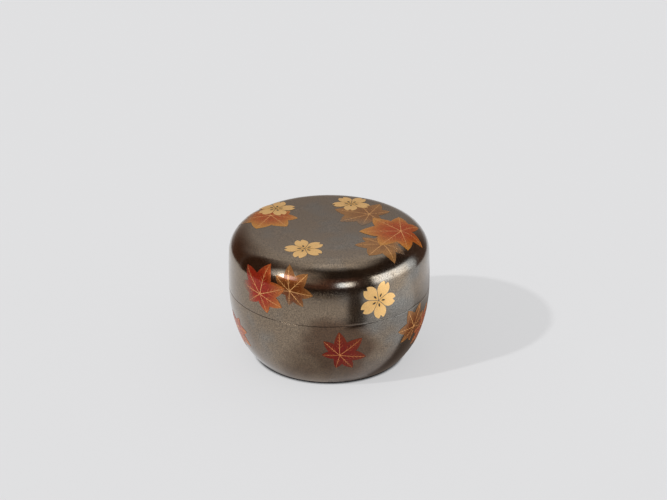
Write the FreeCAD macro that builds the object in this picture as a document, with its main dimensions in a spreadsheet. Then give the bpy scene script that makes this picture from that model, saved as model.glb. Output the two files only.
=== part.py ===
"""A flat, jujube-shaped tea caddy: a lacquered wooden bowl under a lid that lifts straight off.

Both halves are turned about Z and meet in a flat seam, where the bowl's lip stands up inside the lid.
The wooden cores, the outer coats and the black linings are separate turned pieces. Each blossom and
each maple leaf is a thin raised film laid on the outer coat.

The origin is the centre of the resting plane, +Z is up and the front is at -Y. Sizes are millimetres.
An azimuth is in degrees from the front, growing toward +X.
"""
import FreeCAD, Part
import math
import os
from collections import namedtuple

import Sketcher

Vector = FreeCAD.Vector

# Driving sizes: alias, value, meaning.
SIZES = [
    ("outer_diameter", 82.0, "diameter at the seam, the widest place"),
    ("overall_height", 56.0, "resting plane to the middle of the lid"),
    ("seam_height", 30.6, "resting plane to the seam"),
    ("crown_radius", 640.0, "slight dome of the lid's top"),
    ("shoulder_radius", 10.5, "round between the lid's top and its wall"),
    ("wall_radius", 280.0, "slight swell of the lid's wall"),
    ("belly_upper_radius", 58.0, "upper curve of the bowl's side"),
    ("belly_lower_radius", 29.0, "lower curve of the bowl's side"),
    ("belly_turn_height", 11.4, "height where the lower curve takes over"),
    ("foot_height", 0.8, "height of the ring under the bowl"),
    ("foot_setback", 2.0, "from the bowl's bottom edge in to the ring"),
    ("foot_width", 5.0, "width of the ring's flat"),
    ("coat_thickness", 0.4, "outer lacquer"),
    ("lining_thickness", 0.3, "black lacquer inside"),
    ("bond_gap", 0.02, "room between one layer and the next"),
    ("seam_round", 0.25, "softened edge on each side of the seam"),
    ("ledge_width", 3.2, "from the seam's edge in to the lip"),
    ("lip_height", 9.0, "lip above the seam"),
    ("lip_thickness", 2.2, "wall of the lip"),
    ("lip_round", 0.6, "softened edges on top of the lip"),
    ("lid_clearance", 0.12, "room all round between lid and lip"),
    ("lid_top_thickness", 4.4, "middle of the lid's top, lining included"),
    ("lid_hollow_round", 9.0, "corner inside the lid"),
    ("bowl_floor_height", 5.2, "resting plane to the inside floor"),
    ("bowl_hollow_round", 15.0, "corner inside the bowl"),
    ("film_thickness", 0.08, "blossoms and leaves above the coat"),
    ("film_gap", 0.25, "dark line left between one film and the next"),
    ("blossom_reach", 8.0, "blossom centre to the end of a petal"),
]

# Each motif: its node, shape and zone, its azimuth, its distance (on the top in from the lid's edge, on
# the sides up or down from the seam), the direction of its first lobe or petal (0 along the azimuth, 90 up
# the surface) and, for a leaf, the length of its longest lobe and the share of the lobes' length at which
# two of them part. A motif lies under those listed before it.
Motif = namedtuple("Motif", "label shape zone azimuth distance turn reach parting")
MOTIFS = [
    Motif("lid_blossom_back_left", "blossom", "lid_top", -128.2, 13.0, -12.6, None, None),
    Motif("lid_blossom_back_right", "blossom", "lid_top", 157.5, 17.0, 35.8, None, None),
    Motif("lid_blossom_front", "blossom", "lid_top", -22.8, 16.5, -15.8, None, None),
    Motif("lid_blossom_side", "blossom", "lid_side", 28.0, 9.2, -9.4, None, None),
    Motif("lid_blossom_rear", "blossom", "lid_side", -130.0, 9.0, 20.0, None, None),
    Motif("bowl_blossom_rear", "blossom", "bowl_side", 150.0, 11.0, 10.0, None, None),
    Motif("lid_leaf_right", "leaf", "lid_top", 79.1, 11.7, 105.9, 16.8, 0.67),
    Motif("lid_leaf_side_red", "leaf", "lid_side", -41.1, 9.3, 77.8, 13.0, 0.66),
    Motif("lid_leaf_rear_red", "leaf", "lid_side", 172.0, 10.0, 70.0, 12.5, 0.64),
    Motif("bowl_leaf_front", "leaf", "bowl_side", 6.1, 13.2, 39.3, 11.3, 0.59),
    Motif("bowl_leaf_right_bronze", "leaf", "bowl_side", 57.0, 9.5, 120.4, 10.5, 0.62),
    Motif("bowl_leaf_left", "leaf", "bowl_side", -69.1, 13.0, -89.3, 11.0, 0.60),
    Motif("bowl_leaf_rear", "leaf", "bowl_side", -160.0, 13.0, 130.0, 11.5, 0.60),
    Motif("lid_leaf_back_left", "leaf", "lid_top", -112.9, 15.1, 0.2, 14.1, 0.72),
    Motif("lid_leaf_back_right", "leaf", "lid_top", 123.2, 21.4, 38.1, 14.8, 0.68),
    Motif("lid_leaf_front_right", "leaf", "lid_top", 49.7, 13.2, 190.6, 11.6, 0.66),
    Motif("lid_leaf_side_bronze", "leaf", "lid_side", -21.9, 13.9, 47.9, 9.7, 0.64),
    Motif("lid_leaf_rear_bronze", "leaf", "lid_side", -168.0, 13.5, 30.0, 9.5, 0.62),
    Motif("bowl_leaf_right_red", "leaf", "bowl_side", 69.0, 12.4, -34.2, 11.0, 0.60),
]

# A maple leaf: each lobe's direction from the middle one, in degrees, and its share of the leaf's reach,
# then the share at which the edge turns in at the stalk, and how far an edge swells.
LEAF_SIDE_LOBES = [(53.0, 0.97), (94.0, 0.83), (140.0, 0.62)]
LEAF_LOBES = [(-angle, share) for angle, share in reversed(LEAF_SIDE_LOBES)] + [(0.0, 1.0)] + LEAF_SIDE_LOBES
LEAF_STALK = 0.26
LEAF_SWELL = 0.07

# A petal, as shares of the blossom's reach.
PETALS = 5
PETAL_FLANK = 0.42
PETAL_WIDEST = (0.68, 0.335)
PETAL_TOOTH = (0.985, 0.11)
PETAL_NOTCH = 0.83
SLIT_START = 0.17
SLIT_END = 0.37
SLIT_HALF_WIDTH = 0.035

# How a sketch numbers the points of an edge, its own axes and its origin.
FIRST = 1
LAST = 2
CENTRE = 3
LEVEL_AXIS = -1
UPRIGHT_AXIS = -2
ORIGIN = (LEVEL_AXIS, FIRST)

SHARP_CORNERS = 2
SAME_PLACE = 1e-4

doc = FreeCAD.newDocument("TeaCaddy")
sheet = doc.addObject("Spreadsheet::Sheet", "Sizes")


def fill_sheet():
    """Write every driving size to the sheet, the motifs' own sizes after the common ones."""
    rows = list(SIZES)
    for motif in MOTIFS:
        rows.append((motif.label + "_distance", motif.distance, "place of " + motif.label))
        if motif.reach:
            rows.append((motif.label + "_reach", motif.reach, "longest lobe of " + motif.label))
    for number, (alias, value, meaning) in enumerate(rows, start=1):
        sheet.set(f"A{number}", meaning)
        sheet.set(f"B{number}", str(value))
        sheet.setAlias(f"B{number}", alias)
    doc.recompute()


class Size:
    """A length that knows both its value and the sheet expression that gives it."""

    def __init__(self, value, text):
        self.value = value
        self.text = text

    def __add__(self, other):
        return Size(self.value + other.value, f"({self.text} + {other.text})")

    def __sub__(self, other):
        return Size(self.value - other.value, f"({self.text} - {other.text})")

    def __mul__(self, other):
        return Size(self.value * other.value, f"({self.text} * {other.text})")

    def __truediv__(self, other):
        return Size(self.value / other.value, f"({self.text} / {other.text})")

    def root(self):
        """The square root of this value."""
        return Size(math.sqrt(self.value), f"sqrt({self.text})")


def size(alias):
    """The sheet's cell with this alias, as a Size."""
    return Size(float(sheet.get(alias)), "Sizes." + alias)


def plain(number):
    """A bare count, such as the two in a half."""
    return Size(float(number), str(number))


def corner_point(corner):
    """The place in a sketch of a corner, whose radius and height are Sizes or zero."""
    r, z = (length.value if length else 0.0 for length in corner)
    return Vector(r, z, 0)


class Section:
    """A closed half section in the XZ plane, turned about Z into one body.

    Arcs run counter-clockwise, so an arc's first end is the one at its smaller angle. An end is a pair:
    the edge's number and FIRST or LAST. A corner is a pair too: its radius and its height.
    """

    def __init__(self, label):
        self.label = label
        self.body = doc.addObject("PartDesign::Body", label)
        self.sketch = self.body.newObject("Sketcher::SketchObject", label + "_section")
        plane = next(item for item in self.body.Origin.OriginFeatures if item.Role == "XZ_Plane")
        self.sketch.AttachmentSupport = (plane, [""])
        self.sketch.MapMode = "FlatFace"

    def tie(self, kind, edge, point, length):
        """Bind one coordinate or radius of an edge to the sheet."""
        if kind == "Radius":
            number = self.sketch.addConstraint(Sketcher.Constraint(kind, edge, length.value))
        elif length.value < 0:
            length = plain(0) - length
            number = self.sketch.addConstraint(Sketcher.Constraint(kind, edge, point, *ORIGIN, length.value))
        else:
            number = self.sketch.addConstraint(Sketcher.Constraint(kind, *ORIGIN, edge, point, length.value))
        self.sketch.setExpression(f"Constraints[{number}]", length.text)

    def pin(self, end, r=None, z=None):
        """Hold an end or a centre at a radius and a height. A None is left free, a zero is an axis."""
        edge, point = end
        for kind, axis, length in (("DistanceX", UPRIGHT_AXIS, r), ("DistanceY", LEVEL_AXIS, z)):
            if length is None:
                continue
            if length == 0:
                self.sketch.addConstraint(Sketcher.Constraint("PointOnObject", edge, point, axis))
            else:
                self.tie(kind, edge, point, length)

    def join(self, one, two, smooth=False):
        """Join two ends, in line with each other where smooth."""
        kind = "Tangent" if smooth else "Coincident"
        self.sketch.addConstraint(Sketcher.Constraint(kind, *one, *two))

    def arc(self, centre, radius, first, last):
        """Add an arc about a centre between two angles, in radians."""
        circle = Part.Circle(Vector(centre[0], centre[1], 0), Vector(0, 0, 1), radius)
        return self.sketch.addGeometry(Part.ArcOfCircle(circle, first, last))

    def corner(self, r, z, radius, quarter):
        """Add a quarter round, about a centre at r and z, that starts at so many quarter turns."""
        start = quarter * math.pi / 2
        edge = self.arc((r.value, z.value), radius.value, start, start + math.pi / 2)
        self.pin((edge, CENTRE), r, z)
        self.tie("Radius", edge, None, radius)
        for point in (FIRST, LAST):
            level = (quarter + point) % 2 == 1
            self.pin((edge, point), None if level else r, z if level else None)
        return edge

    def run(self, start, corners, stop):
        """Add straight edges from one end, through corners, to another end."""
        where = [self.sketch.getPoint(*start)]
        where += [corner_point(corner) for corner in corners]
        where.append(self.sketch.getPoint(*stop))
        before = start
        for number in range(len(where) - 1):
            edge = self.sketch.addGeometry(Part.LineSegment(where[number], where[number + 1]))
            self.join(before, (edge, FIRST))
            if number < len(corners):
                self.pin((edge, LAST), *corners[number])
            before = (edge, LAST)
        self.join(before, stop)

    def loop(self, corners):
        """Add a closed ring of straight edges through corners."""
        where = [corner_point(corner) for corner in corners]
        count = len(corners)
        edges = [
            self.sketch.addGeometry(Part.LineSegment(where[number], where[(number + 1) % count]))
            for number in range(count)
        ]
        for number, edge in enumerate(edges):
            self.join((edge, LAST), (edges[(number + 1) % count], FIRST))
            self.pin((edge, FIRST), *corners[number])

    def turn(self):
        """Turn the section about Z and return its body."""
        feature = self.body.newObject("PartDesign::Revolution", self.label + "_turned")
        feature.Profile = self.sketch
        feature.ReferenceAxis = (self.sketch, ["V_Axis"])
        feature.Angle = 360.0
        self.sketch.Visibility = False
        doc.recompute()
        return self.body

    def soften(self, radius, level, rounding):
        """Round the circular edge of the turned body at this radius and level."""
        solid = self.body.Tip
        name = next(
            f"Edge{number}"
            for number, edge in enumerate(solid.Shape.Edges, start=1)
            if abs(edge.CenterOfMass.z - level.value) < SAME_PLACE
            and abs(math.hypot(edge.Vertexes[0].X, edge.Vertexes[0].Y) - radius.value) < SAME_PLACE
        )
        fillet = self.body.newObject("PartDesign::Fillet", self.label + "_softened")
        fillet.Base = (solid, [name])
        fillet.setExpression("Radius", rounding.text)
        doc.recompute()


fill_sheet()

# Levels and radii shared by the pieces.
outer_radius = size("outer_diameter") / plain(2)
height = size("overall_height")
seam = size("seam_height")
coat = size("coat_thickness")
lining = size("lining_thickness")
gap = size("bond_gap")
under_coat = coat + gap
under_lining = lining + gap
no_offset = plain(0)

crown = size("crown_radius")
shoulder = size("shoulder_radius")
wall = size("wall_radius")
wall_centre_r = outer_radius - wall

belly_upper = size("belly_upper_radius")
belly_lower = size("belly_lower_radius")
belly_centre_r = outer_radius - belly_upper
turn_sine = (seam - size("belly_turn_height")) / belly_upper
turn_cosine = (plain(1) - turn_sine * turn_sine).root()
base_centre_r = belly_centre_r + (belly_upper - belly_lower) * turn_cosine
base_centre_z = seam - (belly_upper - belly_lower) * turn_sine

lip_radius = outer_radius - size("ledge_width")
lip_top = seam + size("lip_height")
mouth_radius = lip_radius - size("lip_thickness")
lid_bore = lip_radius + size("lid_clearance")
lid_ceiling = height - size("lid_top_thickness")
bowl_floor = size("bowl_floor_height")
foot_height = size("foot_height")


def base_radius(offset, level):
    """The radius of the bowl's lower curve, this far inside its surface, at a level."""
    radius = belly_lower - offset
    rise = base_centre_z - level
    return base_centre_r + (radius * radius - rise * rise).root()


foot_outer = base_radius(no_offset, foot_height) - size("foot_setback")
foot_inner = foot_outer - size("foot_width")


def shoulder_centre():
    """The centre, as plain numbers, of the round that touches both the crown and the wall."""
    to_crown = crown.value - shoulder.value
    to_wall = wall.value - shoulder.value
    across = -wall_centre_r.value
    up = height.value - crown.value - seam.value
    apart = math.hypot(across, up)
    along = (to_wall ** 2 - to_crown ** 2 + apart ** 2) / (2 * apart)
    aside = math.sqrt(to_wall ** 2 - along ** 2)
    r = wall_centre_r.value + (along * across - aside * up) / apart
    z = seam.value + (along * up + aside * across) / apart
    return r, z


def lid_curve(section, offset, rim):
    """Draw the lid's outline, this far inside its surface, from a rim level up to the axis."""
    centre_r, centre_z = shoulder_centre()
    crown_z = height.value - crown.value
    wall_end = math.atan2(centre_z - seam.value, centre_r - wall_centre_r.value)
    crown_start = math.atan2(centre_z - crown_z, centre_r)
    wall_arc_radius = wall - offset
    wall_start = math.asin((rim.value - seam.value) / wall_arc_radius.value)

    wall_arc = section.arc((wall_centre_r.value, seam.value), wall_arc_radius.value, wall_start, wall_end)
    round_arc = section.arc((centre_r, centre_z), (shoulder - offset).value, wall_end, crown_start)
    crown_arc = section.arc((0, crown_z), (crown - offset).value, crown_start, math.pi / 2)

    section.pin((wall_arc, CENTRE), wall_centre_r, seam)
    section.tie("Radius", wall_arc, None, wall_arc_radius)
    section.pin((wall_arc, FIRST), None, rim)
    section.join((wall_arc, LAST), (round_arc, FIRST), smooth=True)
    section.tie("Radius", round_arc, None, shoulder - offset)
    section.join((round_arc, LAST), (crown_arc, FIRST), smooth=True)
    section.pin((crown_arc, CENTRE), 0, height - crown)
    section.tie("Radius", crown_arc, None, crown - offset)
    section.pin((crown_arc, LAST), 0, None)
    return (wall_arc, FIRST), (crown_arc, LAST)


def bowl_curve(section, offset, bottom, top):
    """Draw the bowl's outline, this far inside its surface, from a bottom level up to a top level."""
    upper_radius = belly_upper - offset
    lower_radius = belly_lower - offset
    turn = -math.asin(turn_sine.value)
    first = math.asin((bottom.value - base_centre_z.value) / lower_radius.value)
    last = math.asin((top.value - seam.value) / upper_radius.value)

    lower_arc = section.arc((base_centre_r.value, base_centre_z.value), lower_radius.value, first, turn)
    upper_arc = section.arc((belly_centre_r.value, seam.value), upper_radius.value, turn, last)

    section.pin((upper_arc, CENTRE), belly_centre_r, seam)
    section.tie("Radius", upper_arc, None, upper_radius)
    section.pin((upper_arc, LAST), None, top)
    section.pin((upper_arc, FIRST), None, seam - upper_radius * turn_sine)
    section.join((lower_arc, LAST), (upper_arc, FIRST), smooth=True)
    section.tie("Radius", lower_arc, None, lower_radius)
    section.pin((lower_arc, FIRST), None, bottom)
    return (lower_arc, FIRST), (upper_arc, LAST)


def lid_hollow_corner(section, offset):
    """Draw the round inside the lid, this far behind the lining's face, from its wall to its ceiling."""
    radius = size("lid_hollow_round") + offset
    corner = section.corner(lid_bore + offset - radius, lid_ceiling + offset - radius, radius, 0)
    return (corner, FIRST), (corner, LAST)


def bowl_hollow_corner(section, offset):
    """Draw the round inside the bowl, this far behind the lining's face, from its floor to its wall."""
    radius = size("bowl_hollow_round") + offset
    corner = section.corner(mouth_radius + offset - radius, bowl_floor - offset + radius, radius, -1)
    return (corner, FIRST), (corner, LAST)


def make_lid_lacquer():
    """The metallic coat over the lid, turned in under its rim as far as the lining."""
    section = Section("lid_lacquer")
    rim_end, top = lid_curve(section, no_offset, seam)
    inner_rim_end, inner_top = lid_curve(section, coat, seam + coat)
    lip_side = lid_bore + under_lining
    section.run(rim_end, [(lip_side, seam), (lip_side, seam + coat)], inner_rim_end)
    section.run(inner_top, [], top)
    section.turn()
    section.soften(outer_radius, seam, size("seam_round"))
    return section.body


def make_lid_core():
    """The turned wooden lid."""
    section = Section("lid_core")
    rim = seam + under_coat
    rim_end, top = lid_curve(section, under_coat, rim)
    wall_end, ceiling_end = lid_hollow_corner(section, under_lining)
    section.run(rim_end, [(lid_bore + under_lining, rim)], wall_end)
    section.run(ceiling_end, [(0, lid_ceiling + under_lining)], top)
    return section.turn()


def make_lid_lining():
    """The black lacquer inside the lid, which slides over the bowl's lip."""
    section = Section("lid_lining")
    wall_end, ceiling_end = lid_hollow_corner(section, no_offset)
    back_wall_end, back_ceiling_end = lid_hollow_corner(section, lining)
    section.run(wall_end, [(lid_bore, seam), (lid_bore + lining, seam)], back_wall_end)
    section.run(ceiling_end, [(0, lid_ceiling), (0, lid_ceiling + lining)], back_ceiling_end)
    return section.turn()


def make_bowl_lacquer():
    """The metallic coat over the bowl's side, turned in over the ledge as far as the lip."""
    section = Section("bowl_lacquer")
    bottom, ledge_end = bowl_curve(section, no_offset, foot_height, seam)
    inner_bottom, inner_ledge_end = bowl_curve(section, coat, foot_height, seam - coat)
    lip_side = lip_radius + gap
    section.run(ledge_end, [(lip_side, seam), (lip_side, seam - coat)], inner_ledge_end)
    section.run(bottom, [], inner_bottom)
    section.turn()
    section.soften(outer_radius, seam, size("seam_round"))
    return section.body


def make_bowl_core():
    """The turned wooden bowl, with its lip and the low ring underneath."""
    section = Section("bowl_core")
    underside = foot_height + under_coat
    ledge = seam - under_coat
    lip_face = lip_radius - under_lining
    lip_level = lip_top - under_lining
    bottom, ledge_end = bowl_curve(section, under_coat, underside, ledge)
    floor_end, wall_end = bowl_hollow_corner(section, under_lining)
    lip = [(lip_face, ledge), (lip_face, lip_level), (mouth_radius + under_lining, lip_level)]
    section.run(ledge_end, lip, wall_end)
    ring = [
        (foot_outer - under_coat, underside),
        (foot_outer - under_coat, under_coat),
        (foot_inner + under_coat, under_coat),
        (foot_inner + under_coat, underside),
        (0, underside),
        (0, bowl_floor - under_lining),
    ]
    section.run(bottom, ring, floor_end)
    return section.turn()


def make_bowl_lining():
    """The black lacquer inside the bowl, over its lip and down the lip's outer face."""
    section = Section("bowl_lining")
    rounding = size("lip_round")
    level = lip_top - rounding
    foot = seam - coat
    lip_back = lip_radius - lining
    back_level = lip_top - lining
    floor_end, wall_end = bowl_hollow_corner(section, no_offset)
    back_floor_end, back_wall_end = bowl_hollow_corner(section, lining)
    inner_round = section.corner(mouth_radius + rounding, level, rounding, 1)
    outer_round = section.corner(lip_radius - rounding, level, rounding, 0)
    section.run(wall_end, [], (inner_round, LAST))
    section.run((inner_round, FIRST), [], (outer_round, LAST))
    outside = [(lip_radius, foot), (lip_back, foot)]
    back = [(lip_back, back_level), (mouth_radius + lining, back_level)]
    section.run((outer_round, FIRST), outside + back, back_wall_end)
    section.run(floor_end, [(0, bowl_floor), (0, bowl_floor - lining)], back_floor_end)
    return section.turn()


def make_base_lacquer():
    """The black lacquer under the bowl, round the ring that it stands on."""
    section = Section("base_lacquer")
    back = foot_height + coat
    edge = base_radius(coat, foot_height) - gap
    section.loop([
        (0, foot_height),
        (foot_inner, foot_height),
        (foot_inner, 0),
        (foot_outer, 0),
        (foot_outer, foot_height),
        (edge, foot_height),
        (edge, back),
        (foot_outer - coat, back),
        (foot_outer - coat, coat),
        (foot_inner + coat, coat),
        (foot_inner + coat, back),
        (0, back),
    ])
    return section.turn()


def make_lid_film():
    """A film all over the lid, from which its motifs are cut."""
    section = Section("lid_film")
    inside = no_offset - gap
    outside = inside - size("film_thickness")
    level = seam + size("seam_round")
    rim_end, top = lid_curve(section, inside, level)
    outer_rim_end, outer_top = lid_curve(section, outside, level)
    section.run(rim_end, [], outer_rim_end)
    section.run(top, [], outer_top)
    return section.turn()


def make_bowl_film():
    """A film all over the bowl's side, from which its motifs are cut."""
    section = Section("bowl_film")
    inside = no_offset - gap
    outside = inside - size("film_thickness")
    level = seam - size("seam_round")
    bottom, top = bowl_curve(section, inside, foot_height, level)
    outer_bottom, outer_top = bowl_curve(section, outside, foot_height, level)
    section.run(bottom, [], outer_bottom)
    section.run(top, [], outer_top)
    return section.turn()


def polar(reach, degrees):
    """A point in the drawing plane at this reach and angle."""
    return Vector(reach * math.cos(math.radians(degrees)), reach * math.sin(math.radians(degrees)), 0)


def swollen_edge(start, end, swell):
    """An arc from start to end that swells to the right of the way by a share of its length."""
    way = end - start
    middle = (start + end) * 0.5 + Vector(way.y, -way.x, 0) * swell
    return Part.Arc(start, middle, end).toShape()


def leaf_outline(reach, parting):
    """A seven-lobed maple leaf about its stalk point, with its middle lobe along +X."""
    tips = [polar(reach * share, angle) for angle, share in LEAF_LOBES]
    sinuses = []
    for (angle, share), (next_angle, next_share) in zip(LEAF_LOBES, LEAF_LOBES[1:]):
        sinuses.append(polar(reach * parting * (share + next_share) / 2, (angle + next_angle) / 2))
    stalk = polar(reach * LEAF_STALK, 180.0)
    starts = [stalk] + sinuses
    ends = sinuses + [stalk]
    edges = []
    for start, tip, end in zip(starts, tips, ends):
        edges.append(swollen_edge(start, tip, LEAF_SWELL))
        edges.append(swollen_edge(tip, end, LEAF_SWELL))
    return Part.Face(Part.Wire(edges))


def petal_outline(reach, spacing):
    """One notched petal along +X, at a spacing from its neighbours."""
    half_angle = math.radians(180.0 / PETALS)
    base = Vector(spacing / 2 / math.sin(half_angle), 0, 0)
    flank = base + polar(reach * PETAL_FLANK, 180.0 / PETALS)
    widest = Vector(*PETAL_WIDEST, 0) * reach
    tooth = Vector(*PETAL_TOOTH, 0) * reach
    notch = Vector(reach * PETAL_NOTCH, 0, 0)

    def below(point):
        return Vector(point.x, -point.y, 0)

    return Part.Face(Part.Wire([
        Part.LineSegment(base, below(flank)).toShape(),
        Part.Arc(below(flank), below(widest), below(tooth)).toShape(),
        Part.LineSegment(below(tooth), notch).toShape(),
        Part.LineSegment(notch, tooth).toShape(),
        Part.Arc(tooth, widest, flank).toShape(),
        Part.LineSegment(flank, base).toShape(),
    ]))


def petal_slit(reach):
    """The dark slit near a petal's foot, a thin lens along +X."""
    start = Vector(reach * SLIT_START, 0, 0)
    end = Vector(reach * SLIT_END, 0, 0)
    middle = (start + end) * 0.5
    half = Vector(0, reach * SLIT_HALF_WIDTH, 0)
    return Part.Face(Part.Wire([
        Part.Arc(start, middle - half, end).toShape(),
        Part.Arc(end, middle + half, start).toShape(),
    ]))


def blossom_outline(reach, spacing):
    """Five notched petals round a point, the first along +X."""
    petal = petal_outline(reach, spacing).cut(petal_slit(reach)).Faces[0]
    faces = []
    for number in range(PETALS):
        face = petal.copy()
        face.rotate(Vector(0, 0, 0), Vector(0, 0, 1), number * 360.0 / PETALS)
        faces.append(face)
    return faces


def surface_point(motif):
    """The radius and height of the coat's surface under a motif, and how steeply its normal rises."""
    distance = size(motif.label + "_distance").value
    centre_r, centre_z = shoulder_centre()
    if motif.zone == "lid_top":
        r = outer_radius.value - distance
        crown_z = height.value - crown.value
        if r < centre_r:
            z = crown_z + math.sqrt(crown.value ** 2 - r ** 2)
            return r, z, math.atan2(z - crown_z, r)
        z = centre_z + math.sqrt(shoulder.value ** 2 - (r - centre_r) ** 2)
        return r, z, math.atan2(z - centre_z, r - centre_r)
    if motif.zone == "lid_side":
        z = seam.value + distance
        if z < centre_z:
            r = wall_centre_r.value + math.sqrt(wall.value ** 2 - distance ** 2)
            return r, z, math.asin(distance / wall.value)
        r = centre_r + math.sqrt(shoulder.value ** 2 - (z - centre_z) ** 2)
        return r, z, math.atan2(z - centre_z, r - centre_r)
    z = seam.value - distance
    r = belly_centre_r.value + math.sqrt(belly_upper.value ** 2 - distance ** 2)
    return r, z, -math.asin(distance / belly_upper.value)


def motif_placement(motif):
    """The place on the coat of a motif's drawing plane, whose normal points out of the coat."""
    r, z, rise = surface_point(motif)
    azimuth = math.radians(motif.azimuth)
    outward = Vector(math.sin(azimuth), -math.cos(azimuth), 0)
    along = Vector(math.cos(azimuth), math.sin(azimuth), 0)
    normal = outward * math.cos(rise) + Vector(0, 0, math.sin(rise))
    up = normal.cross(along)
    frame = FreeCAD.Rotation(along, up, normal, "ZXY")
    turned = frame.multiply(FreeCAD.Rotation(Vector(0, 0, 1), motif.turn))
    return FreeCAD.Placement(outward * r + Vector(0, 0, z), turned)


def prism(motif, name, faces):
    """Faces drawn for a motif, set on the coat and driven through the film as deep as the shoulder."""
    drawing = doc.addObject("Part::Feature", name + "_drawing")
    drawing.Shape = Part.Compound(faces)
    drawing.Placement = motif_placement(motif)
    solid = doc.addObject("Part::Extrusion", name + "_prism")
    solid.Base = drawing
    solid.DirMode = "Custom"
    solid.Dir = drawing.Placement.Rotation.multVec(Vector(0, 0, 1))
    solid.setExpression("LengthFwd", shoulder.text)
    solid.setExpression("LengthRev", shoulder.text)
    solid.Solid = True
    return solid


def half_of(motif):
    """The half that a motif lies on: lid or bowl."""
    return motif.zone.split("_")[0]


def motif_reach(motif):
    """How far a motif reaches from its middle."""
    return size(motif.label + "_reach" if motif.reach else "blossom_reach").value


def motif_faces(motif, margin):
    """A motif's outline, or with a margin the plain outline that keeps other films clear of it."""
    spacing = size("film_gap").value
    if motif.shape == "leaf":
        faces = [leaf_outline(motif_reach(motif), motif.parting)]
    else:
        faces = blossom_outline(motif_reach(motif), spacing)
    if not margin:
        return faces
    return [Part.Face(face.OuterWire.makeOffset2D(spacing, SHARP_CORNERS)) for face in faces]


def covers_of(motif):
    """The motifs on the same half, laid later, that are near enough to lie over this one."""
    middle = motif_placement(motif).Base
    above = []
    for other in MOTIFS[:MOTIFS.index(motif)]:
        same_half = half_of(other) == half_of(motif)
        apart = motif_placement(other).Base.distanceToPoint(middle)
        if same_half and apart < motif_reach(motif) + motif_reach(other) + size("film_gap").value:
            above.append(other)
    return above


def make_motif(motif, film, covers):
    """One blossom or leaf, cut from the film and cleared of the motifs laid over it."""
    shape = doc.addObject("Part::Common", motif.label + "_film")
    shape.Base = film
    shape.Tool = prism(motif, motif.label, motif_faces(motif, False))
    for number, cover in enumerate(covers, start=1):
        name = f"{motif.label}_cover_{number}"
        cleared = doc.addObject("Part::Cut", f"{motif.label}_cleared_{number}")
        cleared.Base = shape
        cleared.Tool = prism(cover, name, motif_faces(cover, True))
        shape = cleared
    doc.recompute()
    return shape


def build():
    """Make every piece and return them by node name."""
    pieces = {
        "bowl_core": make_bowl_core(),
        "bowl_lacquer": make_bowl_lacquer(),
        "bowl_lining": make_bowl_lining(),
        "base_lacquer": make_base_lacquer(),
        "lid_core": make_lid_core(),
        "lid_lacquer": make_lid_lacquer(),
        "lid_lining": make_lid_lining(),
    }
    films = {"lid": make_lid_film(), "bowl": make_bowl_film()}
    for motif in MOTIFS:
        pieces[motif.label] = make_motif(motif, films[half_of(motif)], covers_of(motif))
    for label, piece in pieces.items():
        piece.Label = label
    return pieces


def check(pieces):
    """Stop if any object failed or any piece isn't a valid solid."""
    doc.recompute()
    failed = [item.Label for item in doc.Objects if {"Invalid", "Error"} & set(item.State)]
    if failed:
        raise RuntimeError("failed objects: " + ", ".join(failed))
    for label, piece in pieces.items():
        shape = piece.Shape
        if shape.isNull() or not shape.isValid() or not shape.Solids:
            raise RuntimeError("bad shape: " + label)


def export(pieces):
    """Write each piece to its own STEP file."""
    os.makedirs("parts", exist_ok=True)
    for label, piece in pieces.items():
        piece.Shape.exportStep(os.path.join("parts", label + ".step"))
        print(f"{label}: {len(piece.Shape.Solids)} solids, {piece.Shape.Volume:.2f} mm3")


model = build()
check(model)
export(model)
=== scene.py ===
"""Dresses a flat, jujube-shaped tea caddy in lacquer, with gilt blossoms and maple leaves.

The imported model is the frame. The coats and linings are spun from the same arcs as the real turned
pieces, and each blossom or leaf is a thin film that follows the coat under it. Lengths are metres unless
a comment says millimetres. An azimuth is in degrees from the front, which faces -Y, growing toward +X.
"""

import math
from collections import namedtuple

import bmesh
import bpy
import numpy as np
from bpy.props import FloatProperty, FloatVectorProperty, IntProperty, PointerProperty
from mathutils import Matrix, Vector
from mathutils.geometry import delaunay_2d_cdt


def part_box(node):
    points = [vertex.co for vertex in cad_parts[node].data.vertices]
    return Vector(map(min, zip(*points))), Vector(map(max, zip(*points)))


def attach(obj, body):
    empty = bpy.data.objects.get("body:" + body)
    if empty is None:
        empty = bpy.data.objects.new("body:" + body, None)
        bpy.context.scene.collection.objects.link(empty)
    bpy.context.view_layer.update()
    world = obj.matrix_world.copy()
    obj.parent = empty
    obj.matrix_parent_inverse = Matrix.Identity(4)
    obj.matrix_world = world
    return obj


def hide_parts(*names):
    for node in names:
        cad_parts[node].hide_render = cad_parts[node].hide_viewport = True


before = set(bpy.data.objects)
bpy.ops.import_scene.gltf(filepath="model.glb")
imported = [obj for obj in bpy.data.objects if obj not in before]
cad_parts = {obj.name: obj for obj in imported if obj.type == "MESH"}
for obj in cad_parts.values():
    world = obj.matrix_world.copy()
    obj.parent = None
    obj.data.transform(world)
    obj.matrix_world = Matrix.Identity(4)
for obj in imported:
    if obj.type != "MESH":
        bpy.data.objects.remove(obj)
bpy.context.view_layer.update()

bl_info = {
    "name": "Lacquered Tea Caddy",
    "version": (1, 0, 0),
    "blender": (4, 5, 0),
    "location": "View3D > Sidebar > Tea Caddy",
    "description": "Spins the lacquer coats of a tea caddy and lays its blossoms and maple leaves",
    "category": "Object",
}

MM = 0.001

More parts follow.
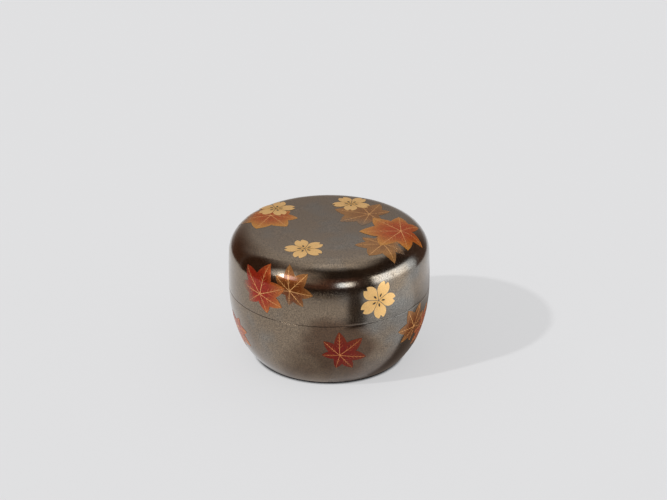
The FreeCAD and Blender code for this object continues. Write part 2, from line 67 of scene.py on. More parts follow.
# Each film: the node it stands for, its finish, where it lies (on the lid's top in from the edge, on a side
# up or down from the seam, in millimetres), the direction of its first lobe or petal (0 along the azimuth,
# 90 up the surface), its reach in millimetres, and how many films lie under it.
Film = namedtuple("Film", "node finish zone azimuth distance turn reach layer")
BLOSSOMS = [
    Film("lid_blossom_back_left", "gold", "lid_top", -128.2, 13.0, -12.6, 8.0, 1),
    Film("lid_blossom_back_right", "gold", "lid_top", 157.5, 17.0, 35.8, 8.0, 1),
    Film("lid_blossom_front", "gold", "lid_top", -22.8, 16.5, -15.8, 8.0, 0),
    Film("lid_blossom_side", "gold", "lid_side", 28.0, 9.2, -9.4, 8.0, 0),
    Film("lid_blossom_rear", "gold", "lid_side", -130.0, 9.0, 20.0, 8.0, 0),
    Film("bowl_blossom_rear", "gold", "bowl_side", 150.0, 11.0, 10.0, 8.0, 0),
]
LEAVES = [
    Film("lid_leaf_right", "orange", "lid_top", 79.1, 11.7, 105.9, 16.8, 1),
    Film("lid_leaf_side_red", "red", "lid_side", -41.1, 9.3, 77.8, 13.0, 1),
    Film("lid_leaf_rear_red", "red", "lid_side", 172.0, 10.0, 70.0, 12.5, 1),
    Film("bowl_leaf_front", "crimson", "bowl_side", 6.1, 13.2, 39.3, 11.3, 0),
    Film("bowl_leaf_right_bronze", "bronze", "bowl_side", 57.0, 9.5, 120.4, 10.5, 1),
    Film("bowl_leaf_left", "red", "bowl_side", -69.1, 13.0, -89.3, 11.0, 0),
    Film("bowl_leaf_rear", "crimson", "bowl_side", -160.0, 13.0, 130.0, 11.5, 0),
    Film("lid_leaf_back_left", "orange", "lid_top", -112.9, 15.1, 0.2, 14.1, 0),
    Film("lid_leaf_back_right", "bronze", "lid_top", 123.2, 21.4, 38.1, 14.8, 0),
    Film("lid_leaf_front_right", "bronze", "lid_top", 49.7, 13.2, 190.6, 11.6, 0),
    Film("lid_leaf_side_bronze", "bronze", "lid_side", -21.9, 13.9, 47.9, 9.7, 0),
    Film("lid_leaf_rear_bronze", "bronze", "lid_side", -168.0, 13.5, 30.0, 9.5, 0),
    Film("bowl_leaf_right_red", "red", "bowl_side", 69.0, 12.4, -34.2, 11.0, 0),
]

# How each leaf is drawn: the share of its lobes' length at which two of them part, how far its heart's
# colour has turned to that of the tips (below 0, it starts to turn further out), and the direction in which
# its powder thins out (0 along the azimuth, 90 up the surface), with the shares of its reach, measured that
# way, at which it starts to thin and is gone. A leaf may also lean: its colour is then this much further
# turned for each reach toward the lower right.
LEAN_DIRECTION = -45.0
Look = namedtuple("Look", "parting turned direction start end lean", defaults=(0.0,))
LOOKS = {
    "lid_leaf_right": Look(0.67, 0.0, -34.0, 0.3, 1.2),
    "lid_leaf_side_red": Look(0.66, -0.12, 202.0, 0.05, 0.9, 0.75),
    "lid_leaf_rear_red": Look(0.64, 0.2, 190.0, 0.3, 1.1),
    "bowl_leaf_front": Look(0.59, 0.0, 90.0, 0.9, 1.6),
    "bowl_leaf_right_bronze": Look(0.62, 0.0, 60.0, 0.6, 1.6),
    "bowl_leaf_left": Look(0.60, 0.2, 180.0, 0.9, 1.6),
    "bowl_leaf_rear": Look(0.60, 0.0, 90.0, 0.9, 1.6),
    "lid_leaf_back_left": Look(0.72, 0.1, -80.0, 0.3, 1.0),
    "lid_leaf_back_right": Look(0.68, 0.6, 140.0, 0.0, 1.3),
    "lid_leaf_front_right": Look(0.66, 0.7, -50.0, 0.1, 1.1),
    "lid_leaf_side_bronze": Look(0.64, -0.22, 250.0, 0.0, 1.15),
    "lid_leaf_rear_bronze": Look(0.62, 0.0, 265.0, 0.2, 1.1),
    "bowl_leaf_right_red": Look(0.60, 0.2, 0.0, 0.9, 1.6),
}

# A maple leaf: each side lobe's direction from the middle one, in degrees, and its share of the leaf's
# reach, then the share at which the edge turns in at the stalk, and how far an edge swells.
LEAF_SIDE_LOBES = [(53.0, 0.97), (94.0, 0.83), (140.0, 0.62)]
LEAF_LEFT_LOBES = [(-angle, share) for angle, share in reversed(LEAF_SIDE_LOBES)]
LEAF_LOBES = LEAF_LEFT_LOBES + [(0.0, 1.0)] + LEAF_SIDE_LOBES
LEAF_STALK = 0.26
LEAF_SWELL = 0.07

# A petal, as shares of the blossom's reach.
PETALS = 5
PETAL_FLANK = 0.42
PETAL_WIDEST = (0.68, 0.335)
PETAL_TOOTH = (0.985, 0.11)
PETAL_NOTCH = 0.83
SLIT_START = 0.15
SLIT_END = 0.38
SLIT_HALF_WIDTH = 0.05

# A leaf's veins, as shares of its lobes' reach, and of the main vein's width.
VEIN_REACH = 0.94
VEIN_TAPER = 0.4
BRANCH_PLACES = (0.3, 0.45, 0.6, 0.75)
BRANCH_ANGLE = 38.0
BRANCH_LENGTH = 0.28
BRANCH_WIDTH = 0.3

# How far out the colour of a leaf or a petal turns, as shares of its reach, and by how much.
LEAF_HEART = 0.25
LEAF_RIM = 0.12
LEAF_TIP_BLUSH = 0.85
LEAF_RIM_BLUSH = 0.15
PETAL_DEEP = 0.05
PETAL_PALE = 0.6

# Real sizes behind the patterns.
CLOUD_SIZE = 16 * MM
SHADE_SIZE = 22 * MM
POWDER_GRAIN = 0.42 * MM
BRUSH_SIZE = 6 * MM
RING_SPACING = 2.96088 * MM
PORE_SIZE = 0.4 * MM
TOOTH_SIZE = 1 * MM
# How often a wave texture repeats at scale 1.
WAVE_PERIOD = math.pi / 10

# How strongly and how deep each pattern stands out of its surface.
GRAIN_RELIEF = {"Strength": 0.1, "Distance": 0.02 * MM}
BRUSH_RELIEF = {"Strength": 0.05, "Distance": 0.05 * MM}
PORE_RELIEF = {"Strength": 0.3, "Distance": 0.05 * MM}
TOOTH_RELIEF = {"Strength": 0.05, "Distance": 0.05 * MM}

# The ground's clouds: how fast they turn cooler toward +X, per metre, and how fast painted shade darkens the
# ground toward the table, per metre; the middle and reach of a darker brown patch on the bowl and how much
# brown it adds, and where the noise of each has its way.
COOL_LEAN = 4.0
PAINTED_SHADE_LEAN = -16.0
BROWN_HEART = (1 * MM, -40 * MM, 23 * MM)
BROWN_REACH = 25 * MM
BROWN_SHARE = 0.45
COOL_SPAN = {"From Min": 0.46, "From Max": 0.78}
BROWN_SPAN = {"From Min": 0.2, "From Max": 0.5}
BROWN_SEED = 4.0

# What the grain's noise, or the brush's, does to each finish's brightness and roughness.
GRAIN_SPAN = {"From Min": 0.3, "From Max": 0.7}
GROUND_SPARKLE = {"To Min": 0.6, "To Max": 1.4}
LEAF_SPARKLE = {"To Min": 0.7, "To Max": 1.3}
GOLD_SPARKLE = {"To Min": 0.92, "To Max": 1.08}
GROUND_ROUGHNESS = {"To Min": 0.12, "To Max": 0.20}
GOLD_ROUGHNESS = {"To Min": 0.36, "To Max": 0.46}
BLACK_ROUGHNESS = {"To Min": 0.12, "To Max": 0.22}
LEAF_ROUGHNESS = 0.3
CLEAR_COAT = {"Coat Roughness": 0.04, "Coat IOR": 1.5}

# How metallic each leaf powder is, and where its heaps, grain and density added, start to cover the ground
# and cover it fully.
LEAF_SHEEN = {"red": 0.55, "crimson": 0.55, "orange": 0.35, "bronze": 0.4}
VEIN_SHEEN = 0.3
SPECKLE = 0.6
COVER_SPAN = {"From Min": 0.42, "From Max": 1.18}

# The even wash over the table, which keeps the shadow pale: its share and its light. Board and wash get a
# painted contact shadow where the caddy is nearer than this, between these shares of open air.
TABLE_HALF_WIDTH = 3.0
WASH_SHARE = 0.7
WASH_LIGHT = 0.93
CONTACT_SHADE_REACH = 2.4 * MM
CONTACT_SHADE_SPAN = {"From Min": 0.2, "From Max": 0.5}

# The photograph's camera, fitted to the caddy's outline: metres, degrees and, for the lens, millimetres.
CAMERA_TARGET = (0.00178, 0.0, 0.04454)
CAMERA_DISTANCE = 0.649
CAMERA_ELEVATION = 24.72
CAMERA_LENS = 86.36

# Studio cards round the caddy, seen only in its gloss: azimuths and elevations in degrees, the degrees over
# which a card softens at its left, right, foot and top, its share of the room's half widths, and its light.
Card = namedtuple("Card", "name azimuths elevations softness share light")
CARDS = [
    Card("back_wall", (110, 250), (-2, 60), (20, 20, 5, 45), 1.02, (0.36, 0.32, 0.29)),
    Card("ceiling", (0, 360), (72, 90), (1, 1, 16, 1), 1.01, (1.08, 1.05, 1.02)),
    Card("dark_curtain_front", (-48, 50), (-25, 88), (12, 4, 3, 32), 1.0, (0.05, 0.035, 0.027)),
    Card("dark_curtain_left", (-112, -36), (-25, 84), (12, 6, 3, 48), 0.99, (0.08, 0.04, 0.025)),
    Card("dark_curtain_far_left", (-168, -100), (-11, 65), (45, 6, 3, 55), 0.98, (0.12, 0.06, 0.04)),
    Card("dark_curtain_right", (42, 135), (14, 75), (5, 25, 4, 25), 0.98, (0.06, 0.04, 0.03)),
    Card("dark_curtain_far_right", (98, 165), (-11, 50), (6, 40, 3, 25), 0.97, (0.12, 0.07, 0.05)),
    Card("front_glow", (-40, 40), (-8, 34), (25, 25, 10, 12), 0.97, (0.18, 0.09, 0.065)),
    Card("left_glow", (-60, 2), (4, 66), (20, 30, 16, 25), 0.96, (0.50, 0.46, 0.43)),
    Card("left_softbox", (-70, -37), (12, 50), (18, 8, 8, 24), 0.94, (1.6, 1.75, 1.9)),
    Card("left_lamp", (-53, -29), (13.5, 29), (4, 11, 4, 4), 0.92, (12.0, 12.6, 13.2)),
    Card("front_softbox", (5.5, 26), (-2, 18), (7, 7, 7, 7), 0.94, (3.4, 3.75, 4.1)),
    Card("window_sill", (44, 104), (-16, 4), (6, 40, 4, 6), 0.95, (1.15, 1.18, 1.2)),
    Card("right_window", (41.5, 108), (-6, 23), (5, 42, 10, 4), 0.94, (3.15, 3.4, 3.6)),
    Card("window_bar", (63, 69), (1, 12), (3, 3, 3, 3), 0.92, (1.4, 1.5, 1.6)),
]
ROOM_HALF_WIDTHS = (0.18, 0.15, 0.30)
ROOM_CENTRE = (0.0, 0.0, 0.045)
CARD_STEP = 2.0

# Dark and light places on the table, seen only in the caddy's gloss, which the wash would even out: azimuth
# in degrees, distances from the caddy's middle in millimetres, half widths near it and farther out in
# millimetres, the share of these over which its sides soften, and its light.
Shade = namedtuple("Shade", "name azimuth distances half_widths side light")
SHADES = [
    Shade("key_shadow", 118.0, (-15, 115), (29.2, 43.6), 0.08, (0.15, 0.12, 0.10)),
    Shade("front_shadow", 25.0, (84, 190), (26, 26), 0.7, (0.10, 0.08, 0.07)),
    Shade("foot_shade", -14.0, (20, 62), (24, 24), 0.8, (0.48, 0.45, 0.43)),
    Shade("window_pool", 76.0, (96, 215), (42, 50), 0.5, (1.0, 1.04, 1.08)),
]
# How finely a shade is divided, the share of its length at which it has widened, the shares over which its
# near and far ends soften, and how high it lies.
SHADE_ROWS = 32
SHADE_WIDENING = 0.385
SHADE_ENDS = (0.12, 0.5)
SHADE_LIFT = 0.4 * MM

# Axes and faces of a node's box.
X, Z = 0, 2
LOW, HIGH = 0, 1
SMALLEST = 0.01 * MM


def box_face(node, axis, side):
    """One face of a CAD node's box."""
    return round(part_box(node)[side][axis], 5)


def length_property(name, description, default):
    """A length that a user may change."""
    return FloatProperty(name=name, description=description, default=default, min=SMALLEST, unit="LENGTH")


def strength_property(name, description, default):
    """A light's strength that a user may change."""
    return FloatProperty(name=name, description=description, default=default, min=0.0)


def angle_property(name, description, degrees):
    """An angle that a user may change."""
    return FloatProperty(name=name, description=description, default=math.radians(degrees), subtype="ANGLE")


def linear(colour):
    """An sRGB hex colour as linear red, green, blue and alpha."""
    channels = [int(colour[place:place + 2], 16) / 255 for place in (1, 3, 5)]
    curve = [c / 12.92 if c <= 0.04045 else ((c + 0.055) / 1.055) ** 2.4 for c in channels]
    return (*curve, 1.0)


def colour_property(name, description, colour):
    """A colour that a user may change, whose default is an sRGB hex value."""
    return FloatVectorProperty(
        name=name, description=description, subtype="COLOR", size=4, min=0.0, max=1.0,
        default=linear(colour))


class CaddySizes(bpy.types.PropertyGroup):
    """Sizes of the turned pieces and of the films laid on them."""

    outer_radius: length_property(
        "Outer radius", "Radius at the seam, the widest place", box_face("lid_lacquer", X, HIGH))
    height: length_property("Height", "Table to the middle of the lid", box_face("lid_lacquer", Z, HIGH))
    seam: length_property("Seam height", "Table to the seam", box_face("lid_lacquer", Z, LOW))
    crown_radius: length_property("Crown radius", "Slight dome of the lid's top", 640 * MM)
    shoulder_radius: length_property(
        "Shoulder radius", "Round between the lid's top and its wall", 10.5 * MM)
    wall_radius: length_property("Wall radius", "Slight swell of the lid's wall", 280 * MM)
    belly_upper_radius: length_property("Upper belly radius", "Upper curve of the bowl's side", 58 * MM)
    belly_lower_radius: length_property("Lower belly radius", "Lower curve of the bowl's side", 29 * MM)
    belly_turn: length_property("Belly turn height", "Height where the lower curve takes over", 11.4 * MM)
    foot_height: length_property(
        "Foot height", "Height of the ring under the bowl", box_face("bowl_lacquer", Z, LOW))
    foot_setback: length_property("Foot setback", "From the bowl's bottom edge in to the ring", 2 * MM)
    foot_width: length_property("Foot width", "Width of the ring's flat", 5 * MM)
    coat: length_property("Coat", "Thickness of the outer lacquer", 0.4 * MM)
    lining: length_property("Lining", "Thickness of the black lacquer inside", 0.3 * MM)
    seam_round: length_property("Seam rounding", "Softened edge of the lid at the seam", 0.25 * MM)
    ledge_round: length_property("Ledge rounding", "Softened edge of the bowl at the seam", 0.1 * MM)
    lip_radius: length_property(
        "Lip radius", "Outside of the lip that the lid drops over", box_face("bowl_lining", X, HIGH))
    lip_top: length_property("Lip top", "Table to the top of the lip", box_face("bowl_lining", Z, HIGH))
    lip_thickness: length_property("Lip thickness", "Wall of the lip", 2.2 * MM)
    lip_round: length_property("Lip rounding", "Softened edges on top of the lip", 0.6 * MM)
    bowl_floor: length_property(
        "Bowl floor", "Table to the back of the lining on the bowl's floor", box_face("bowl_lining", Z, LOW))
    bowl_round: length_property(
        "Bowl corner", "Round between the bowl's floor and its inner wall", 15 * MM)
    lid_bore: length_property(
        "Lid bore", "Back of the lining inside the lid's wall", box_face("lid_lining", X, HIGH))
    lid_ceiling: length_property(
        "Lid ceiling", "Table to the back of the lining under the lid's top",
        box_face("lid_lining", Z, HIGH))
    lid_round: length_property("Lid corner", "Round between the lid's ceiling and its inner wall", 9 * MM)
    film: length_property("Film", "Thickness of a blossom or leaf above the coat", 0.045 * MM)
    film_gap: length_property("Petal gap", "Hairline of bare coat between two petals", 0.25 * MM)
    vein_width: length_property("Vein width", "Width of a leaf's main vein at the stalk", 0.27 * MM)
    spin_step: length_property("Spin step", "Length of a mesh edge along a turned profile", 0.9 * MM)
    film_step: length_property("Film step", "Length of a mesh edge across a blossom or leaf", 0.7 * MM)
    spin_sides: IntProperty(name="Sides", description="Mesh faces round the caddy", default=256, min=16)


class CaddyColours(bpy.types.PropertyGroup):
    """Colours of the lacquers, the powders and the table."""

    ground_warm: colour_property("Warm ground", "Brown clouds of the metallic lacquer", "#887764")
    ground_cool: colour_property("Cool ground", "Blue-grey clouds of the metallic lacquer", "#817c75")
    # The dark ground also fills the darker patch on the bowl and, as painted shade, the ground toward the
    # table.
    ground_dark: colour_property("Dark ground", "Thin places of the metallic lacquer", "#5e4836")
    black: colour_property("Black lacquer", "Linings and underside", "#0b0908")
    black_warm: colour_property("Warm black", "Where the black is a little thin", "#14100d")
    gold: colour_property("Gold", "Blossoms", "#f4c682")
    gold_deep: colour_property("Deep gold", "Thinly sprinkled gold", "#e4b46c")
    line: colour_property("Dark line", "Stamens drawn in the blossoms", "#2c2620")
    red_heart: colour_property("Red leaf heart", "Middle of a red leaf", "#982a18")
    red_tip: colour_property("Red leaf tip", "Edges of a red leaf", "#b56a34")
    crimson_heart: colour_property("Crimson leaf heart", "Middle of a crimson leaf", "#6c1003")
    crimson_tip: colour_property("Crimson leaf tip", "Edges of a crimson leaf", "#6a2606")
    orange_heart: colour_property("Orange leaf heart", "Middle of an orange leaf", "#9d3d0e")
    orange_tip: colour_property("Orange leaf tip", "Edges of an orange leaf", "#b87f3a")
    bronze_heart: colour_property("Bronze leaf heart", "Middle of a bronze leaf", "#6c391a")
    bronze_tip: colour_property("Bronze leaf tip", "Edges of a bronze leaf", "#926538")
    vein: colour_property("Veins", "Fine lines on the crimson leaves", "#b87642")
    vein_pale: colour_property("Pale veins", "Fine lines on the other leaves", "#d49c60")
    wood: colour_property("Wood", "Turned cores under the lacquer", "#a9805a")
    wood_dark: colour_property("Wood rings", "Late growth of the wood", "#7f5a3a")
    table: colour_property("Table", "The pale floor", "#e4e4e5")
    room: colour_property("Room", "The even light all round", "#e2e2e3")


class CaddyStage(bpy.types.PropertyGroup):
    """Light on the caddy."""

    room_light: strength_property("Room light", "Strength of the room as it shows in gloss", 0.95)
    fill_light: strength_property("Fill light", "Strength of the even light on dull surfaces", 0.76)
    sun_light: strength_property("Key light", "Strength of the key light", 1.95)
    sun_azimuth: angle_property("Key azimuth", "Where the key light stands", -62.0)
    sun_elevation: angle_property("Key elevation", "How high the key light stands", 38.0)
    sun_spread: angle_property("Key spread", "How wide the key light looks", 2.0)
    window_light: strength_property("Window light", "Strength of the window's shadowless light", 1.9)
    window_azimuth: angle_property("Window azimuth", "Where the window stands", 62.0)
    window_elevation: angle_property("Window elevation", "How high the window stands", 8.0)


# Turned surfaces

# An arc of a profile about a centre in the plane of radius and height, from one angle to another, in
# radians.
Arc = namedtuple("Arc", "r z radius start end")
# How many mesh edges an arc has at least, the angle from which a mesh edge stays sharp, and the radius that
# counts as on the axis.
LEAST_DIVISIONS = 5
SHARP_ANGLE = math.radians(40.0)
ON_AXIS = 1e-7


def shoulder_centre(sizes):
    """The centre of the round that touches both the crown and the wall."""
    wall_r = sizes.outer_radius - sizes.wall_radius
    to_crown = sizes.crown_radius - sizes.shoulder_radius
    to_wall = sizes.wall_radius - sizes.shoulder_radius
    up = sizes.height - sizes.crown_radius - sizes.seam
    apart = math.hypot(wall_r, up)
    along = (to_wall ** 2 - to_crown ** 2 + apart ** 2) / (2 * apart)
    aside = math.sqrt(to_wall ** 2 - along ** 2)
    r = wall_r + (-along * wall_r - aside * up) / apart
    z = sizes.seam + (along * up - aside * wall_r) / apart
    return r, z


def lid_arcs(sizes, inset=0.0):
    """The lid's outline from the seam up to the axis, this far inside its surface."""
    wall_r = sizes.outer_radius - sizes.wall_radius
    crown_z = sizes.height - sizes.crown_radius
    r, z = shoulder_centre(sizes)
    wall_end = math.atan2(z - sizes.seam, r - wall_r)
    crown_start = math.atan2(z - crown_z, r)
    return [
        Arc(wall_r, sizes.seam, sizes.wall_radius - inset, 0.0, wall_end),
        Arc(r, z, sizes.shoulder_radius - inset, wall_end, crown_start),
        Arc(0.0, crown_z, sizes.crown_radius - inset, crown_start, math.pi / 2),
    ]


def bowl_arcs(sizes, inset=0.0):
    """The bowl's outline from its bottom edge up to the seam, this far inside its surface."""
    upper = sizes.belly_upper_radius
    lower = sizes.belly_lower_radius
    upper_r = sizes.outer_radius - upper
    turn = math.asin((sizes.seam - sizes.belly_turn) / upper)
    lower_r = upper_r + (upper - lower) * math.cos(turn)
    lower_z = sizes.seam - (upper - lower) * math.sin(turn)
    bottom = math.asin((sizes.foot_height - lower_z) / (lower - inset))
    return [
        Arc(lower_r, lower_z, lower - inset, bottom, -turn),
        Arc(upper_r, sizes.seam, upper - inset, -turn, 0.0),
    ]


def on_arc(arc, angle):
    """The radius and height of an arc at an angle."""
    return arc.r + arc.radius * math.cos(angle), arc.z + arc.radius * math.sin(angle)


def arc_points(arc, step):
    """Points along an arc, both ends included, no further apart than a step."""
    turn = arc.end - arc.start
    count = max(LEAST_DIVISIONS, math.ceil(abs(turn) * arc.radius / step))
    return [on_arc(arc, arc.start + turn * number / count) for number in range(count + 1)]


def joined(arcs, step):
    """Points along arcs that follow on from each other."""
    points = []
    for arc in arcs:
        fresh = arc_points(arc, step)
        points += fresh[1:] if points else fresh
    return points


def trimmed(arcs, first=None, last=None):
    """Arcs cut to start or end at a height: where a rounded edge takes over."""
    arcs = list(arcs)
    if first is not None:
        arcs[0] = arcs[0]._replace(start=math.asin((first - arcs[0].z) / arcs[0].radius))
    if last is not None:
        arcs[-1] = arcs[-1]._replace(end=math.asin((last - arcs[-1].z) / arcs[-1].radius))
    return arcs


def quarter_round(r, z, radius, start):
    """A quarter of a circle about a centre, whose start is counted in quarter turns."""
    return Arc(r, z, radius, start * math.pi / 2, (start + 1) * math.pi / 2)


def spin(name, profile, sides):
    """A closed mesh object from a profile of radii and heights, turned about Z."""
    mesh = bpy.data.meshes.new(name)
    work = bmesh.new()
    rings = []
    for r, z in profile:
        if r < ON_AXIS:
            rings.append([work.verts.new((0.0, 0.0, z))] * sides)
            continue
        angles = (2 * math.pi * number / sides for number in range(sides))
        rings.append([work.verts.new((r * math.cos(angle), r * math.sin(angle), z)) for angle in angles])
    for number, ring in enumerate(rings):
        after = rings[(number + 1) % len(rings)]
        for side in range(sides):
            other = (side + 1) % sides
            corners = dict.fromkeys([ring[side], ring[other], after[other], after[side]])
            if len(corners) > 2:
                work.faces.new(corners)
    bmesh.ops.recalc_face_normals(work, faces=work.faces)
    work.to_mesh(mesh)
    work.free()
    mesh.shade_smooth()
    mesh.set_sharp_from_angle(angle=SHARP_ANGLE)
    piece = bpy.data.objects.new(name, mesh)
    bpy.context.scene.collection.objects.link(piece)
    return piece


def lid_coat_profile(sizes):
    """The lid's coat in section: over the outside, round the rim and back behind the coat."""
    step = sizes.spin_step
    rounding = sizes.seam_round
    rim = quarter_round(sizes.outer_radius - rounding, sizes.seam + rounding, rounding, -1)
    front = arc_points(rim, step)[:-1] + joined(trimmed(lid_arcs(sizes), sizes.seam + rounding), step)
    level = sizes.seam + sizes.coat
    back = joined(trimmed(lid_arcs(sizes, sizes.coat), level), step)
    return [(sizes.lid_bore, sizes.seam)] + front + back[::-1] + [(sizes.lid_bore, level)]


def bowl_coat_profile(sizes):
    """The bowl's coat in section: up the outside, over the ledge and back behind the coat."""
    step = sizes.spin_step
    rounding = sizes.ledge_round
    ledge = quarter_round(sizes.outer_radius - rounding, sizes.seam - rounding, rounding, 0)
    front = joined(trimmed(bowl_arcs(sizes), last=sizes.seam - rounding), step)[:-1]
    front += arc_points(ledge, step)
    level = sizes.seam - sizes.coat
    back = joined(trimmed(bowl_arcs(sizes, sizes.coat), last=level), step)
    return front + [(sizes.lip_radius, sizes.seam), (sizes.lip_radius, level)] + back[::-1]


def lid_lining_profile(sizes):
    """The black lining inside the lid, in section."""
    def face(inset):
        radius = sizes.lid_round + sizes.lining - inset
        wall = sizes.lid_bore - inset
        ceiling = sizes.lid_ceiling - inset
        turn = quarter_round(wall - radius, ceiling - radius, radius, 0)
        return [(wall, sizes.seam)] + arc_points(turn, sizes.spin_step) + [(0.0, ceiling)]

    return face(sizes.lining) + face(0.0)[::-1]


def bowl_lining_profile(sizes):
    """The black lining inside the bowl, over its lip and down the lip's outer face, in section."""
    step = sizes.spin_step
    mouth = sizes.lip_radius - sizes.lip_thickness
    rounding = sizes.lip_round
    level = sizes.lip_top - rounding
    foot = sizes.seam - sizes.coat
    back = sizes.lining

    def face(inset):
        radius = sizes.bowl_round + inset
        floor = sizes.bowl_floor + sizes.lining - inset
        turn = quarter_round(mouth + inset - radius, floor + radius, radius, -1)
        return [(0.0, floor)] + arc_points(turn, step)

    over_lip = arc_points(quarter_round(sizes.lip_radius - rounding, level, rounding, 0), step)
    over_lip += arc_points(quarter_round(mouth + rounding, level, rounding, 1), step)
    behind_lip = [
        (mouth + back, sizes.lip_top - back),
        (sizes.lip_radius - back, sizes.lip_top - back),
        (sizes.lip_radius - back, foot),
        (sizes.lip_radius, foot),
    ]
    return face(0.0) + over_lip[::-1] + behind_lip[::-1] + face(back)[::-1]


def base_profile(sizes):
    """The black coat under the bowl and round the ring that it stands on, in section."""
    bottom = bowl_arcs(sizes)[0]
    outer = on_arc(bottom, bottom.start)[0] - sizes.foot_setback
    inner = outer - sizes.foot_width
    rim = box_face("base_lacquer", X, HIGH)
    foot = sizes.foot_height
    coat = sizes.coat
    back = foot + coat
    return [
        (0.0, foot), (inner, foot), (inner, 0.0), (outer, 0.0), (outer, foot), (rim, foot), (rim, back),
        (outer - coat, back), (outer - coat, coat), (inner + coat, coat), (inner + coat, back), (0.0, back),
    ]


# Films

# How near an outline the points inside it may lie and how near two points are one, as shares of a step, how
# often a point is moved to meet the coat, and how far a film stands off, as a share of its thickness.
NEAR_EDGE = 0.4
CLOSE_POINTS = 1e-5
NEWTON_STEPS = 8
FILM_LIFT = 0.2
Place = namedtuple("Place", "middle first second normal")


def turned_distance(arcs, points):
    """How far points lie outside a turned surface, and the surface's normals there."""
    r = np.hypot(points[:, 0], points[:, 1])
    z = points[:, 2]
    best = np.full(len(points), np.inf)
    distance = np.zeros(len(points))
    normals = np.zeros((len(points), 3))
    for arc in arcs:
        angle = np.arctan2(z - arc.z, r - arc.r)
        past = np.maximum(0.0, np.maximum(arc.start - angle, angle - arc.end))
        nearer = past < best
        best[nearer] = past[nearer]
        away = np.hypot(r - arc.r, z - arc.z)
        distance[nearer] = (away - arc.radius)[nearer]
        across = (r - arc.r) / away / np.maximum(r, ON_AXIS)
        found = np.stack([points[:, 0] * across, points[:, 1] * across, (z - arc.z) / away], axis=1)
        normals[nearer] = found[nearer]
    return distance, normals


def drop(arcs, points, way):
    """Move points along a way until they lie on a turned surface."""
    for _ in range(NEWTON_STEPS):
        distance, normals = turned_distance(arcs, points)
        points = points - (distance / (normals @ way))[:, None] * way
    return points


def film_place(sizes, film, arcs):
    """A film's middle on the coat, and its two drawing directions and normal there."""
    azimuth = math.radians(film.azimuth)
    outward = np.array([math.sin(azimuth), -math.cos(azimuth), 0.0])
    along = np.array([math.cos(azimuth), math.sin(azimuth), 0.0])
    distance = film.distance * MM
    if film.zone == "lid_top":
        guess = outward * (sizes.outer_radius - distance) + [0.0, 0.0, sizes.height]
        way = np.array([0.0, 0.0, 1.0])
    else:
        level = sizes.seam + (distance if film.zone == "lid_side" else -distance)
        guess = outward * sizes.outer_radius + [0.0, 0.0, level]
        way = outward
    middle = drop(arcs, guess[None, :], way)
    normal = turned_distance(arcs, middle)[1][0]
    up = np.cross(normal, along)
    turn = math.radians(film.turn)
    first = along * math.cos(turn) + up * math.sin(turn)
    return Place(middle[0], first, np.cross(normal, first), normal)


def polar(reach, degrees):
    """A point of a drawing at this reach and angle."""
    return np.array([math.cos(math.radians(degrees)), math.sin(math.radians(degrees))]) * reach


def curve_through(start, middle, end, step):
    """Points on the circle through three points, from the first up to but without the last."""
    to_middle = middle - start
    to_end = end - start
    cross = 2 * (to_middle[0] * to_end[1] - to_middle[1] * to_end[0])
    m2 = to_middle @ to_middle
    e2 = to_end @ to_end
    aside = np.array([to_end[1] * m2 - to_middle[1] * e2, to_middle[0] * e2 - to_end[0] * m2])
    centre = start + aside / cross
    radius = np.linalg.norm(start - centre)
    first, last = (math.atan2(*(point - centre)[::-1]) for point in (start, end))
    full = 2 * math.pi
    sweep = (last - first) % full if cross > 0 else -((first - last) % full)
    count = max(2, math.ceil(abs(sweep) * radius / step))
    angles = (math.degrees(first + sweep * number / count) for number in range(count))
    return [centre + polar(radius, angle) for angle in angles]


def line_through(start, end, step):
    """Points on a straight line, from its start up to but without its end."""
    count = max(1, math.ceil(np.linalg.norm(end - start) / step))
    return [start + (end - start) * number / count for number in range(count)]


def swollen_edge(start, end, swell, step):
    """An edge that swells to the right of its way by a share of its length."""
    way = end - start
    return curve_through(start, (start + end) / 2 + np.array([way[1], -way[0]]) * swell, end, step)


def leaf_outline(reach, parting, step):
    """A seven-lobed maple leaf about its stalk point, with its middle lobe along +X."""
    tips = [polar(reach * share, angle) for angle, share in LEAF_LOBES]
    sinuses = []
    for (angle, share), (next_angle, next_share) in zip(LEAF_LOBES, LEAF_LOBES[1:]):
        sinuses.append(polar(reach * parting * (share + next_share) / 2, (angle + next_angle) / 2))
    stalk = polar(reach * LEAF_STALK, 180.0)
    points = []
    for start, tip, end in zip([stalk] + sinuses, tips, sinuses + [stalk]):
        points += swollen_edge(start, tip, LEAF_SWELL, step)
        points += swollen_edge(tip, end, LEAF_SWELL, step)
    return np.array(points)


def petal_outline(reach, gap, step):
    """One notched petal along +X, a gap from its neighbours."""
    below = np.array([1.0, -1.0])
    base = np.array([gap / 2 / math.sin(math.pi / PETALS), 0.0])
    flank = base + polar(reach * PETAL_FLANK, 180.0 / PETALS)
    widest = np.array(PETAL_WIDEST) * reach
    tooth = np.array(PETAL_TOOTH) * reach
    notch = np.array([reach * PETAL_NOTCH, 0.0])
    points = line_through(base, flank * below, step)
    points += curve_through(flank * below, widest * below, tooth * below, step)
    points += line_through(tooth * below, notch, step)
    points += line_through(notch, tooth, step)
    points += curve_through(tooth, widest, flank, step)
    points += line_through(flank, base, step)
    return np.array(points)


def petal_slit(reach, step):
    """The dark slit near a petal's foot, a thin lens along +X."""
    start = np.array([reach * SLIT_START, 0.0])
    end = np.array([reach * SLIT_END, 0.0])
    half = np.array([0.0, reach * SLIT_HALF_WIDTH])
    middle = (start + end) / 2
    there = curve_through(start, middle - half, end, step)
    return np.array(there + curve_through(end, middle + half, start, step))


def strip(start, end, width, end_width, step):
    """The outline of a tapering line."""
    way = (end - start) / np.linalg.norm(end - start)
    aside = np.array([-way[1], way[0]]) / 2
    corners = [
        start - aside * width, end - aside * end_width, end + aside * end_width, start + aside * width]
    sides = [line_through(*pair, step) for pair in zip(corners, corners[1:] + corners[:1])]
    return np.concatenate(sides)


